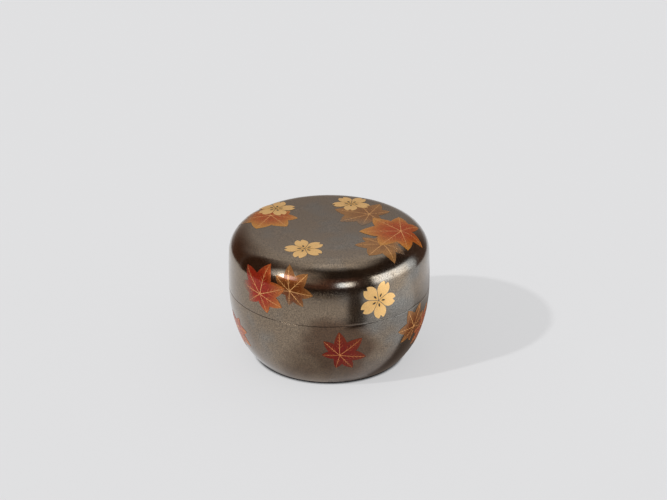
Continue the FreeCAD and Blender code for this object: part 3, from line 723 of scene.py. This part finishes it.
def leaf_veins(reach, width, step):
    """A leaf's main vein in each lobe, and the fine ones that branch off it."""
    veins = []
    fine = width * BRANCH_WIDTH
    for angle, share in LEAF_LOBES:
        length = reach * share
        end = polar(length * VEIN_REACH, angle)
        veins.append(strip(np.zeros(2), end, width * share, width * VEIN_TAPER, step))
        for place in BRANCH_PLACES:
            start = polar(length * place, angle)
            for side in (-BRANCH_ANGLE, BRANCH_ANGLE):
                end = start + polar(length * BRANCH_LENGTH * (1 - place), angle + side)
                veins.append(strip(start, end, fine, fine * VEIN_TAPER, step))
    return veins


def inside(points, outline):
    """Which points lie inside a closed outline."""
    found = np.zeros(len(points), bool)
    for (x0, y0), (x1, y1) in zip(outline, np.roll(outline, -1, axis=0)):
        if y0 != y1:
            crosses = (y0 > points[:, 1]) != (y1 > points[:, 1])
            found ^= crosses & (points[:, 0] < (x1 - x0) * (points[:, 1] - y0) / (y1 - y0) + x0)
    return found


def distance_to(points, outline):
    """How far points lie from a closed outline."""
    best = np.full(len(points), np.inf)
    for start, end in zip(outline, np.roll(outline, -1, axis=0)):
        way = end - start
        share = np.clip((points - start) @ way / (way @ way), 0.0, 1.0)
        best = np.minimum(best, np.linalg.norm(points - start - share[:, None] * way, axis=1))
    return best


def fill(outline, strips, step):
    """Triangles over an outline, and which of them lie on the strips drawn in it."""
    low = outline.min(axis=0)
    high = outline.max(axis=0)
    across, up = (np.arange(low[axis], high[axis], step) for axis in (0, 1))
    grid = np.array([(x + (row % 2) * step / 2, y) for row, y in enumerate(up) for x in across])
    loops = [outline, *strips]
    grid = grid[inside(grid, outline)]
    for loop in loops:
        grid = grid[distance_to(grid, loop) > NEAR_EDGE * step]
    points = np.concatenate([*loops, grid])
    edges = []
    first = 0
    for loop in loops:
        edges += [(first + number, first + (number + 1) % len(loop)) for number in range(len(loop))]
        first += len(loop)
    scaled = [Vector(point / step) for point in points]
    made = delaunay_2d_cdt(scaled, edges, [], 0, CLOSE_POINTS)
    points = np.array(made[0]) * step
    triangles = np.array(made[2])
    middles = points[triangles].mean(axis=1)
    kept = inside(middles, outline)
    on_strip = np.zeros(len(triangles), bool)
    for loop in strips:
        on_strip |= inside(middles, loop)
    return points, triangles[kept], on_strip[kept]


def lay(sizes, film, sheets, tint, materials):
    """Press flat sheets of triangles on the coat, cut them at the seam and give them their thickness.

    tint takes flat points and gives, for each, how far its colour has turned and how thick its powder lies.
    """
    half = film.zone.split("_")[0]
    arcs = lid_arcs(sizes) if half == "lid" else bowl_arcs(sizes)
    place = film_place(sizes, film, arcs)
    side = 1.0 if half == "lid" else -1.0
    work = bmesh.new()
    for points, triangles, on_strip in sheets:
        flat = place.middle + np.outer(points[:, 0], place.first) + np.outer(points[:, 1], place.second)
        verts = [work.verts.new(point) for point in drop(arcs, flat, place.normal)]
        for triangle, is_strip in zip(triangles, on_strip):
            work.faces.new([verts[number] for number in triangle]).material_index = int(is_strip)
    rim = (0.0, 0.0, sizes.seam + side * sizes.seam_round)
    everything = [*work.verts, *work.edges, *work.faces]
    bmesh.ops.bisect_plane(work, geom=everything, plane_co=rim, plane_no=(0.0, 0.0, side), clear_inner=True)
    bmesh.ops.delete(work, geom=[vert for vert in work.verts if not vert.link_faces], context="VERTS")
    work.verts.index_update()

    points = np.array([vert.co for vert in work.verts])
    normals = turned_distance(arcs, points)[1]
    count = len(points)
    lower = [[vert.index for vert in face.verts] for face in work.faces]
    top = [[number + count for number in face] for face in lower]
    back = [face[::-1] for face in lower]
    walls = []
    for boundary in work.edges:
        if boundary.is_boundary:
            loop = boundary.link_loops[0]
            start = loop.vert.index
            end = loop.link_loop_next.vert.index
            walls.append([end + count, start + count, start, end])
    indices = [face.material_index for face in work.faces]
    work.free()

    name = film.node + "_film"
    mesh = bpy.data.meshes.new(name)
    low = sizes.film * (film.layer + FILM_LIFT)
    shown = np.concatenate([points + normals * low, points + normals * (low + sizes.film)])
    mesh.from_pydata(shown.tolist(), [], top + back + walls)
    mesh.polygons.foreach_set("material_index", indices * 2 + [0] * len(walls))
    flat = np.stack([(points - place.middle) @ place.first, (points - place.middle) @ place.second], axis=1)
    for label, values in zip(("blush", "cover"), tint(flat)):
        attribute = mesh.attributes.new(label, "FLOAT", "POINT")
        attribute.data.foreach_set("value", np.tile(values, 2).astype(np.float32))
    mesh.shade_smooth()
    # The walls face as the top does, so that no dark line shows round a film.
    ways = ((top, 1.0), (back, -1.0), (walls, 1.0))
    facing = [sign * normals[np.concatenate(faces) % count] for faces, sign in ways]
    mesh.normals_split_custom_set(np.concatenate(facing).tolist())
    for material in materials:
        mesh.materials.append(material)
    piece = bpy.data.objects.new(name, mesh)
    bpy.context.scene.collection.objects.link(piece)
    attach(piece, half)
    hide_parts(film.node)


def ramp(values, start, end):
    """Values as a smooth share of the way from start to end."""
    share = np.clip((values - start) / (end - start), 0.0, 1.0)
    return share * share * (3 - 2 * share)


# Materials

# The numbers of a Mix node's sockets.
FACTOR = 0
NUMBER_A = 2
NUMBER_B = 3
COLOUR_A = 6
COLOUR_B = 7
MIXED = 2


def add(tree, kind, inputs, **settings):
    """Add a node with its settings, and set its inputs or link them to a socket or a node's first output."""
    node = tree.nodes.new("ShaderNode" + kind)
    for name, value in settings.items():
        setattr(node, name, value)
    for key, value in inputs.items():
        if isinstance(value, bpy.types.Node):
            value = value.outputs[0]
        if isinstance(value, bpy.types.NodeSocket):
            tree.links.new(value, node.inputs[key])
        else:
            node.inputs[key].default_value = value
    return node


def new_material(name):
    """An empty material and its node tree."""
    material = bpy.data.materials.new(name)
    material.use_nodes = True
    material.node_tree.nodes.clear()
    return material, material.node_tree


def powder_ground(tree, colours):
    """Colour, roughness and grain of the metal powder in the lacquer, at any place on the caddy.

    Powder sprinkled by hand and polished through gives soft brown and blue-grey clouds with a fine grain.
    The ground also turns darker toward the table, as painted shade.
    Grains of 0.05 mm are too fine to show, so they are drawn as POWDER_GRAIN.
    """
    where = add(tree, "TexCoord", {}).outputs["Object"]
    clouds = add(tree, "TexNoise", {"Vector": where, "Scale": 1 / CLOUD_SIZE, "Detail": 2.0})
    shades = add(
        tree, "TexNoise", {"Vector": where, "Scale": 1 / SHADE_SIZE, "Detail": 3.0, "W": BROWN_SEED},
        noise_dimensions="4D")
    grain = add(tree, "TexNoise", {"Vector": where, "Scale": 1 / POWDER_GRAIN, "Detail": 1.0})
    split = add(tree, "SeparateXYZ", {"Vector": where})
    lean = add(tree, "Math", {0: split.outputs["X"], 1: COOL_LEAN, 2: clouds}, operation="MULTIPLY_ADD")
    cool = add(tree, "MapRange", {"Value": lean, **COOL_SPAN}, interpolation_type="SMOOTHSTEP")
    powder = add(
        tree, "Mix", {FACTOR: cool, COLOUR_A: colours.ground_warm, COLOUR_B: colours.ground_cool},
        data_type="RGBA")
    near = add(tree, "VectorMath", {0: where, 1: BROWN_HEART}, operation="DISTANCE")
    heart = add(
        tree, "MapRange",
        {"Value": near.outputs["Value"], "From Max": BROWN_REACH, "To Min": BROWN_SHARE, "To Max": 0.0},
        interpolation_type="SMOOTHSTEP")
    # Painted shade: the ground turns darker toward the table.
    low = add(tree, "Math", {0: split.outputs["Z"], 1: PAINTED_SHADE_LEAN, 2: shades}, operation="MULTIPLY_ADD")
    brown_and_shade = add(tree, "Math", {0: heart, 1: low}, operation="ADD")
    thin = add(tree, "MapRange", {"Value": brown_and_shade, **BROWN_SPAN}, interpolation_type="SMOOTHSTEP")
    thinned = add(
        tree, "Mix", {FACTOR: thin, COLOUR_A: powder.outputs[MIXED], COLOUR_B: colours.ground_dark},
        data_type="RGBA")
    sparkle = add(tree, "MapRange", {"Value": grain, **GRAIN_SPAN, **GROUND_SPARKLE})
    colour = add(tree, "VectorMath", {0: thinned.outputs[MIXED], "Scale": sparkle}, operation="SCALE")
    roughness = add(tree, "MapRange", {"Value": grain, **GRAIN_SPAN, **GROUND_ROUGHNESS})
    return colour, roughness, grain


def metallic_lacquer(context):
    """Tin and silver powder in brown lacquer, sprinkled, polished flush and clear coated."""
    # Soft metal sheen that follows the room, under a sharp wet-looking reflection.
    material, tree = new_material("polished_metal_powder_lacquer")
    colour, roughness, _grain = powder_ground(tree, context.scene.caddy_colours)
    shader = add(tree, "BsdfPrincipled", {
        "Base Color": colour, "Metallic": 1.0, "Roughness": roughness, "Coat Weight": 0.5, **CLEAR_COAT})
    add(tree, "OutputMaterial", {"Surface": shader})
    return material


def black_lacquer(context):
    """Black lacquer, brushed on and polished."""
    # Deep black with a mirror gloss, very faintly uneven from the brush.
    material, tree = new_material("polished_black_lacquer")
    colours = context.scene.caddy_colours
    where = add(tree, "TexCoord", {}).outputs["Object"]
    wave = add(tree, "TexNoise", {"Vector": where, "Scale": 1 / BRUSH_SIZE, "Detail": 2.0})
    gloss = add(tree, "MapRange", {"Value": wave, **BLACK_ROUGHNESS})
    uneven = add(tree, "Bump", {"Height": wave, **BRUSH_RELIEF})
    warmth = add(
        tree, "Mix", {FACTOR: wave, COLOUR_A: colours.black, COLOUR_B: colours.black_warm}, data_type="RGBA")
    shader = add(tree, "BsdfPrincipled", {
        "Base Color": warmth.outputs[MIXED], "Roughness": gloss, "IOR": 1.5, "Normal": uneven,
        "Coat Weight": 0.5, "Coat Roughness": 0.06})
    add(tree, "OutputMaterial", {"Surface": shader})
    return material


def turned_wood(context):
    """Zelkova turned on a lathe, bare where the coats don't cover it."""
    # Warm brown with growth rings and a dull, open grain.
    material, tree = new_material("turned_zelkova")
    colours = context.scene.caddy_colours
    where = add(tree, "TexCoord", {}).outputs["Object"]
    rings = add(tree, "TexWave", {
        "Vector": where, "Scale": WAVE_PERIOD / RING_SPACING, "Distortion": 2.0, "Detail": 2.0})
    colour = add(
        tree, "Mix", {FACTOR: rings.outputs["Fac"], COLOUR_A: colours.wood, COLOUR_B: colours.wood_dark},
        data_type="RGBA")
    pores = add(tree, "TexNoise", {"Vector": where, "Scale": 1 / PORE_SIZE, "Detail": 2.0})
    bump = add(tree, "Bump", {"Height": pores, **PORE_RELIEF})
    shader = add(
        tree, "BsdfPrincipled", {"Base Color": colour.outputs[MIXED], "Roughness": 0.6, "Normal": bump})
    add(tree, "OutputMaterial", {"Surface": shader})
    return material


def gold_powder(context):
    """Fine gold powder on lacquer, burnished but not mirror bright."""
    # Pale satin gold, deeper near a petal's foot, with a faint grain.
    material, tree = new_material("burnished_gold_powder")
    colours = context.scene.caddy_colours
    where = add(tree, "TexCoord", {}).outputs["Object"]
    blush = add(tree, "Attribute", {}, attribute_name="blush").outputs["Fac"]
    grain = add(tree, "TexNoise", {"Vector": where, "Scale": 1 / POWDER_GRAIN, "Detail": 1.0})
    colour = add(
        tree, "Mix", {FACTOR: blush, COLOUR_A: colours.gold_deep, COLOUR_B: colours.gold}, data_type="RGBA")
    sparkle = add(tree, "MapRange", {"Value": grain, **GRAIN_SPAN, **GOLD_SPARKLE})
    dusted = add(tree, "VectorMath", {0: colour.outputs[MIXED], "Scale": sparkle}, operation="SCALE")
    roughness = add(tree, "MapRange", {"Value": grain, **GOLD_ROUGHNESS})
    bump = add(tree, "Bump", {"Height": grain, **GRAIN_RELIEF})
    shader = add(tree, "BsdfPrincipled", {
        "Base Color": dusted, "Metallic": 0.7, "Roughness": roughness, "Normal": bump})
    add(tree, "OutputMaterial", {"Surface": shader})
    return material


def leaf_powder(context, name, heart, tip, sheen):
    """Coloured lacquer powder, sprinkled thinly, polished flush and clear coated like the ground."""
    # Colour that turns from the heart to the tips and breaks up into speckles where it thins out.
    material, tree = new_material(name)
    ground, ground_roughness, grain = powder_ground(tree, context.scene.caddy_colours)
    blush = add(tree, "Attribute", {}, attribute_name="blush").outputs["Fac"]
    density = add(tree, "Attribute", {}, attribute_name="cover").outputs["Fac"]
    colour = add(tree, "Mix", {FACTOR: blush, COLOUR_A: heart, COLOUR_B: tip}, data_type="RGBA")
    sparkle = add(tree, "MapRange", {"Value": grain, **GRAIN_SPAN, **LEAF_SPARKLE})
    dusted = add(tree, "VectorMath", {0: colour.outputs[MIXED], "Scale": sparkle}, operation="SCALE")
    heaped = add(tree, "Math", {0: grain, 1: SPECKLE, 2: density}, operation="MULTIPLY_ADD")
    cover = add(tree, "MapRange", {"Value": heaped, **COVER_SPAN})
    base = add(tree, "Mix", {FACTOR: cover, COLOUR_A: ground, COLOUR_B: dusted}, data_type="RGBA")
    metallic = add(tree, "MapRange", {"Value": cover, "To Min": 1.0, "To Max": sheen})
    roughness = add(
        tree, "Mix", {FACTOR: cover, NUMBER_A: ground_roughness, NUMBER_B: LEAF_ROUGHNESS},
        data_type="FLOAT")
    shader = add(tree, "BsdfPrincipled", {
        "Base Color": base.outputs[MIXED], "Metallic": metallic, "Roughness": roughness,
        "Specular IOR Level": 0.0, "Coat Weight": 0.42, **CLEAR_COAT})
    add(tree, "OutputMaterial", {"Surface": shader})
    return material


def drawn_line(context):
    """Dark lacquer drawn with a fine brush."""
    # Near black against the gold, with the same satin gloss.
    material, tree = new_material("brushed_dark_lacquer_line")
    shader = add(tree, "BsdfPrincipled", {
        "Base Color": context.scene.caddy_colours.line, "Roughness": 0.4, "Specular IOR Level": 0.3})
    add(tree, "OutputMaterial", {"Surface": shader})
    return material


def in_view(tree):
    """1 for what the camera sees straight, in gloss or through glass, and 0 for light on dull surfaces."""
    path = add(tree, "LightPath", {})
    seen = path.outputs["Is Camera Ray"]
    for kind in ("Is Glossy Ray", "Is Transmission Ray"):
        seen = add(tree, "Math", {0: seen, 1: path.outputs[kind]}, operation="MAXIMUM")
    return seen


def pale_table(context):
    """Smooth matte board, painted off-white, under an even wash of light."""
    # Even and pale, with a very faint tooth. It keeps the shadow, and has a painted contact shadow where
    # the caddy touches it.
    material, tree = new_material("painted_board")
    paint = context.scene.caddy_colours.table
    where = add(tree, "TexCoord", {}).outputs["Object"]
    tooth = add(tree, "TexNoise", {"Vector": where, "Scale": 1 / TOOTH_SIZE, "Detail": 3.0})
    bump = add(tree, "Bump", {"Height": tooth, **TOOTH_RELIEF})
    # Painted contact shadow: board and wash darken as the open air round a point closes in.
    contact_shade = add(tree, "AmbientOcclusion", {"Distance": CONTACT_SHADE_REACH})
    open_air = add(tree, "MapRange", {"Value": contact_shade.outputs["AO"], **CONTACT_SHADE_SPAN})
    shaded = add(tree, "VectorMath", {0: paint[:3], "Scale": open_air}, operation="SCALE")
    board = add(tree, "BsdfPrincipled", {
        "Base Color": shaded, "Roughness": 0.85, "Specular IOR Level": 0.2, "Normal": bump})
    wash = add(tree, "Emission", {"Color": shaded, "Strength": WASH_LIGHT})
    share = add(tree, "Math", {0: in_view(tree), 1: WASH_SHARE}, operation="MULTIPLY")
    lit = add(tree, "MixShader", {0: share, 1: board, 2: wash})
    add(tree, "OutputMaterial", {"Surface": lit})
    return material


def card_light(name, light):
    """A lit or unlit studio card with soft edges."""
    material, tree = new_material(name)
    shown = add(tree, "Attribute", {}, attribute_name="shown").outputs["Fac"]
    clear = add(tree, "BsdfTransparent", {})
    glow = add(tree, "Emission", {"Color": (*light, 1.0)})
    soft = add(tree, "MixShader", {0: shown, 1: clear, 2: glow})
    add(tree, "OutputMaterial", {"Surface": soft})
    return material


# Stage


def lay_table(context):
    """A wide pale table top under the caddy."""
    mesh = bpy.data.meshes.new("table")
    half = TABLE_HALF_WIDTH
    corners = [(-half, -half, 0), (half, -half, 0), (half, half, 0), (-half, half, 0)]
    mesh.from_pydata(corners, [], [(0, 1, 2, 3)])
    mesh.materials.append(pale_table(context))
    table = bpy.data.objects.new("table", mesh)
    context.scene.collection.objects.link(table)


def set_sheet(scene, name, points, shown, light):
    """A sheet of rows of points that only the caddy's gloss sees, as far as it is shown at each point."""
    rows, columns = shown.shape
    faces = []
    for row in range(rows - 1):
        for column in range(columns - 1):
            first = row * columns + column
            faces.append((first, first + 1, first + columns + 1, first + columns))
    mesh = bpy.data.meshes.new(name)
    mesh.from_pydata(points.reshape(-1, 3).tolist(), [], faces)
    attribute = mesh.attributes.new("shown", "FLOAT", "POINT")
    attribute.data.foreach_set("value", shown.ravel().astype(np.float32))
    mesh.materials.append(card_light(name, light))
    panel = bpy.data.objects.new(name, mesh)
    scene.collection.objects.link(panel)
    panel.visible_camera = False
    panel.visible_diffuse = False
    panel.visible_transmission = False
    panel.visible_shadow = False


def hang_card(scene, card):
    """A curved studio card on the wall of the room."""
    spans = (card.azimuths, card.elevations)
    azimuths, elevations = np.meshgrid(
        *(np.linspace(first, last, math.ceil((last - first) / CARD_STEP) + 1) for first, last in spans))
    inward = (
        azimuths - card.azimuths[0], card.azimuths[1] - azimuths,
        elevations - card.elevations[0], card.elevations[1] - elevations)
    shown = np.prod([ramp(angles, 0.0, soft) for angles, soft in zip(inward, card.softness)], axis=0)
    azimuths, elevations = np.radians(azimuths), np.radians(elevations)
    level = np.cos(elevations)
    ways = np.stack([np.sin(azimuths) * level, -np.cos(azimuths) * level, np.sin(elevations)], axis=-1)
    stretch = np.linalg.norm(ways / ROOM_HALF_WIDTHS, axis=-1, keepdims=True)
    set_sheet(scene, card.name, ROOM_CENTRE + ways * card.share / stretch, shown, card.light)


def lay_shade(scene, shade):
    """A dark or light place flat on the table."""
    azimuth = math.radians(shade.azimuth)
    outward = np.array([math.sin(azimuth), -math.cos(azimuth), 0.0])
    aside = np.array([math.cos(azimuth), math.sin(azimuth), 0.0])
    across, out = np.meshgrid(np.linspace(-1.0, 1.0, SHADE_ROWS + 1), np.linspace(0.0, 1.0, SHADE_ROWS + 1))
    near, far = (distance * MM for distance in shade.distances)
    near_width, far_width = (width * MM for width in shade.half_widths)
    distance = near + (far - near) * out
    width = near_width + (far_width - near_width) * np.minimum(out / SHADE_WIDENING, 1.0)
    points = distance[..., None] * outward + (width * across)[..., None] * aside + (0.0, 0.0, SHADE_LIFT)
    shown = ramp(1 - np.abs(across), 0.0, shade.side)
    shown *= ramp(out, 0.0, SHADE_ENDS[0]) * ramp(1 - out, 0.0, SHADE_ENDS[1])
    set_sheet(scene, shade.name, points, shown, shade.light)


def hang_lamp(scene, name, strength, azimuth, elevation):
    """A far lamp that the gloss doesn't show."""
    lamp = bpy.data.objects.new(name, bpy.data.lights.new(name, "SUN"))
    lamp.data.energy = strength
    lamp.rotation_euler = (math.pi / 2 - elevation, 0.0, azimuth)
    lamp.visible_glossy = False
    scene.collection.objects.link(lamp)
    return lamp.data


def light_room(context):
    """Even light all round, a key light that casts the shadow and a window that casts none."""
    scene = context.scene
    light = scene.caddy_stage
    world = bpy.data.worlds.new("room")
    world.use_nodes = True
    tree = world.node_tree
    tree.nodes.clear()
    strength = add(tree, "MapRange", {
        "Value": in_view(tree), "To Min": light.fill_light, "To Max": light.room_light})
    glow = add(tree, "Background", {"Color": scene.caddy_colours.room, "Strength": strength})
    add(tree, "OutputWorld", {"Surface": glow})
    scene.world = world
    key = hang_lamp(scene, "key_light", light.sun_light, light.sun_azimuth, light.sun_elevation)
    key.angle = light.sun_spread
    window = hang_lamp(
        scene, "window_light", light.window_light, light.window_azimuth, light.window_elevation)
    window.use_shadow = False


def set_camera(scene):
    """The photograph's view of the caddy."""
    camera = bpy.data.objects.new("camera", bpy.data.cameras.new("camera"))
    camera.data.lens = CAMERA_LENS
    elevation = math.radians(CAMERA_ELEVATION)
    back = Vector((0.0, -math.cos(elevation), math.sin(elevation)))
    camera.location = Vector(CAMERA_TARGET) + CAMERA_DISTANCE * back
    camera.rotation_euler = (math.pi / 2 - elevation, 0.0, 0.0)
    scene.collection.objects.link(camera)
    scene.camera = camera


# Operators


def place_turned(context, name, profile, node, body, material):
    """Spin a coat or lining that stands for a CAD node."""
    piece = spin(name, profile, context.scene.caddy_sizes.spin_sides)
    piece.data.materials.append(material)
    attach(piece, body)
    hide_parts(node)


class CADDY_OT_cores(bpy.types.Operator):
    """Give the turned cores their wood"""

    bl_idname = "caddy.cores"
    bl_label = "Wooden Cores"
    bl_options = {"REGISTER", "UNDO"}

    def execute(self, context):
        wood = turned_wood(context)
        for node in ("bowl_core", "lid_core"):
            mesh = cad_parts[node].data
            mesh.materials.clear()
            mesh.materials.append(wood)
        return {"FINISHED"}


class CADDY_OT_coats(bpy.types.Operator):
    """Spin the metallic lacquer coats of the bowl and the lid"""

    bl_idname = "caddy.coats"
    bl_label = "Lacquer Coats"
    bl_options = {"REGISTER", "UNDO"}

    def execute(self, context):
        sizes = context.scene.caddy_sizes
        lacquer = metallic_lacquer(context)
        for body, profile in (("bowl", bowl_coat_profile(sizes)), ("lid", lid_coat_profile(sizes))):
            node = body + "_lacquer"
            place_turned(context, body + "_outer_coat", profile, node, body, lacquer)
        return {"FINISHED"}


class CADDY_OT_linings(bpy.types.Operator):
    """Spin the black linings and the black coat under the bowl"""

    bl_idname = "caddy.linings"
    bl_label = "Black Linings and Base"
    bl_options = {"REGISTER", "UNDO"}

    def execute(self, context):
        sizes = context.scene.caddy_sizes
        lacquer = black_lacquer(context)
        pieces = [
            ("bowl_inner_coat", bowl_lining_profile(sizes), "bowl_lining", "bowl"),
            ("base_coat", base_profile(sizes), "base_lacquer", "bowl"),
            ("lid_inner_coat", lid_lining_profile(sizes), "lid_lining", "lid"),
        ]
        for name, profile, node, body in pieces:
            place_turned(context, name, profile, node, body, lacquer)
        return {"FINISHED"}


class CADDY_OT_blossoms(bpy.types.Operator):
    """Lay the gilt blossoms on the lid and the bowl"""

    bl_idname = "caddy.blossoms"
    bl_label = "Gilt Blossoms"
    bl_options = {"REGISTER", "UNDO"}

    def execute(self, context):
        sizes = context.scene.caddy_sizes
        materials = [gold_powder(context), drawn_line(context)]
        step = sizes.film_step
        for film in BLOSSOMS:
            reach = film.reach * MM
            petal = petal_outline(reach, sizes.film_gap, step)
            points, triangles, on_strip = fill(petal, [petal_slit(reach, step)], step)
            sheets = []
            for number in range(PETALS):
                turn = 2 * math.pi * number / PETALS
                cosine, sine = math.cos(turn), math.sin(turn)
                sheets.append((points @ np.array([[cosine, sine], [-sine, cosine]]), triangles, on_strip))

            def tint(flat):
                share = np.linalg.norm(flat, axis=1) / reach
                return ramp(share, PETAL_DEEP, PETAL_PALE), np.ones(len(flat))

            lay(sizes, film, sheets, tint, materials)
        return {"FINISHED"}


class CADDY_OT_leaves(bpy.types.Operator):
    """Lay the maple leaves on the lid and the bowl"""

    bl_idname = "caddy.leaves"
    bl_label = "Maple Leaves"
    bl_options = {"REGISTER", "UNDO"}

    def execute(self, context):
        sizes = context.scene.caddy_sizes
        colours = context.scene.caddy_colours
        veins = leaf_powder(context, "sprinkled_gold_vein_powder", colours.vein, colours.vein, VEIN_SHEEN)
        pale_veins = leaf_powder(
            context, "sprinkled_pale_gold_vein_powder", colours.vein_pale, colours.vein_pale, VEIN_SHEEN)
        powders = {}
        for finish, sheen in LEAF_SHEEN.items():
            heart, tip = (getattr(colours, finish + place) for place in ("_heart", "_tip"))
            powders[finish] = leaf_powder(context, f"sprinkled_{finish}_powder", heart, tip, sheen)
        step = sizes.film_step
        for film in LEAVES:
            reach = film.reach * MM
            look = LOOKS[film.node]
            outline = leaf_outline(reach, look.parting, step)
            sheet = fill(outline, leaf_veins(reach, sizes.vein_width, step), step)

            def tint(flat):
                share = np.linalg.norm(flat, axis=1) / reach
                rim = 1 - ramp(distance_to(flat, outline), 0.0, reach * LEAF_RIM)
                blush = look.turned + LEAF_TIP_BLUSH * ramp(share, LEAF_HEART, 1.0) + LEAF_RIM_BLUSH * rim
                blush += look.lean * (flat @ polar(1.0, LEAN_DIRECTION - film.turn)) / reach
                along = flat @ polar(1.0, look.direction - film.turn) / reach
                return np.clip(blush, 0.0, 1.0), 1 - ramp(along, look.start, look.end)

            lines = veins if film.finish == "crimson" else pale_veins
            lay(sizes, film, [sheet], tint, [powders[film.finish], lines])
        return {"FINISHED"}


class CADDY_OT_stage(bpy.types.Operator):
    """Set the table, the light and the camera"""

    bl_idname = "caddy.stage"
    bl_label = "Table, Light and Camera"
    bl_options = {"REGISTER", "UNDO"}

    def execute(self, context):
        scene = context.scene
        lay_table(context)
        for card in CARDS:
            hang_card(scene, card)
        for shade in SHADES:
            lay_shade(scene, shade)
        light_room(context)
        set_camera(scene)
        scene.view_settings.view_transform = "Standard"
        return {"FINISHED"}


class CADDY_PT_panel(bpy.types.Panel):
    """Lists the caddy's pieces, sizes and colours"""

    bl_label = "Tea Caddy"
    bl_idname = "CADDY_PT_panel"
    bl_space_type = "VIEW_3D"
    bl_region_type = "UI"
    bl_category = "Tea Caddy"

    def draw(self, context):
        for operator in OPERATORS:
            self.layout.operator(operator.bl_idname)
        for label, group in GROUPS.items():
            box = self.layout.box()
            for name in group.__annotations__:
                box.prop(getattr(context.scene, label), name)


OPERATORS = [
    CADDY_OT_cores, CADDY_OT_coats, CADDY_OT_linings, CADDY_OT_blossoms, CADDY_OT_leaves, CADDY_OT_stage]
GROUPS = {"caddy_sizes": CaddySizes, "caddy_colours": CaddyColours, "caddy_stage": CaddyStage}


def register():
    for group in GROUPS.values():
        bpy.utils.register_class(group)
    for operator in OPERATORS:
        bpy.utils.register_class(operator)
    bpy.utils.register_class(CADDY_PT_panel)
    for label, group in GROUPS.items():
        setattr(bpy.types.Scene, label, PointerProperty(type=group))


def unregister():
    for label in GROUPS:
        delattr(bpy.types.Scene, label)
    bpy.utils.unregister_class(CADDY_PT_panel)
    for operator in reversed(OPERATORS):
        bpy.utils.unregister_class(operator)
    for group in GROUPS.values():
        bpy.utils.unregister_class(group)


def main():
    """Dress the caddy."""
    register()
    bpy.ops.caddy.cores()
    bpy.ops.caddy.coats()
    bpy.ops.caddy.linings()
    bpy.ops.caddy.blossoms()
    bpy.ops.caddy.leaves()
    bpy.ops.caddy.stage()


if __name__ == "__main__":
    main()
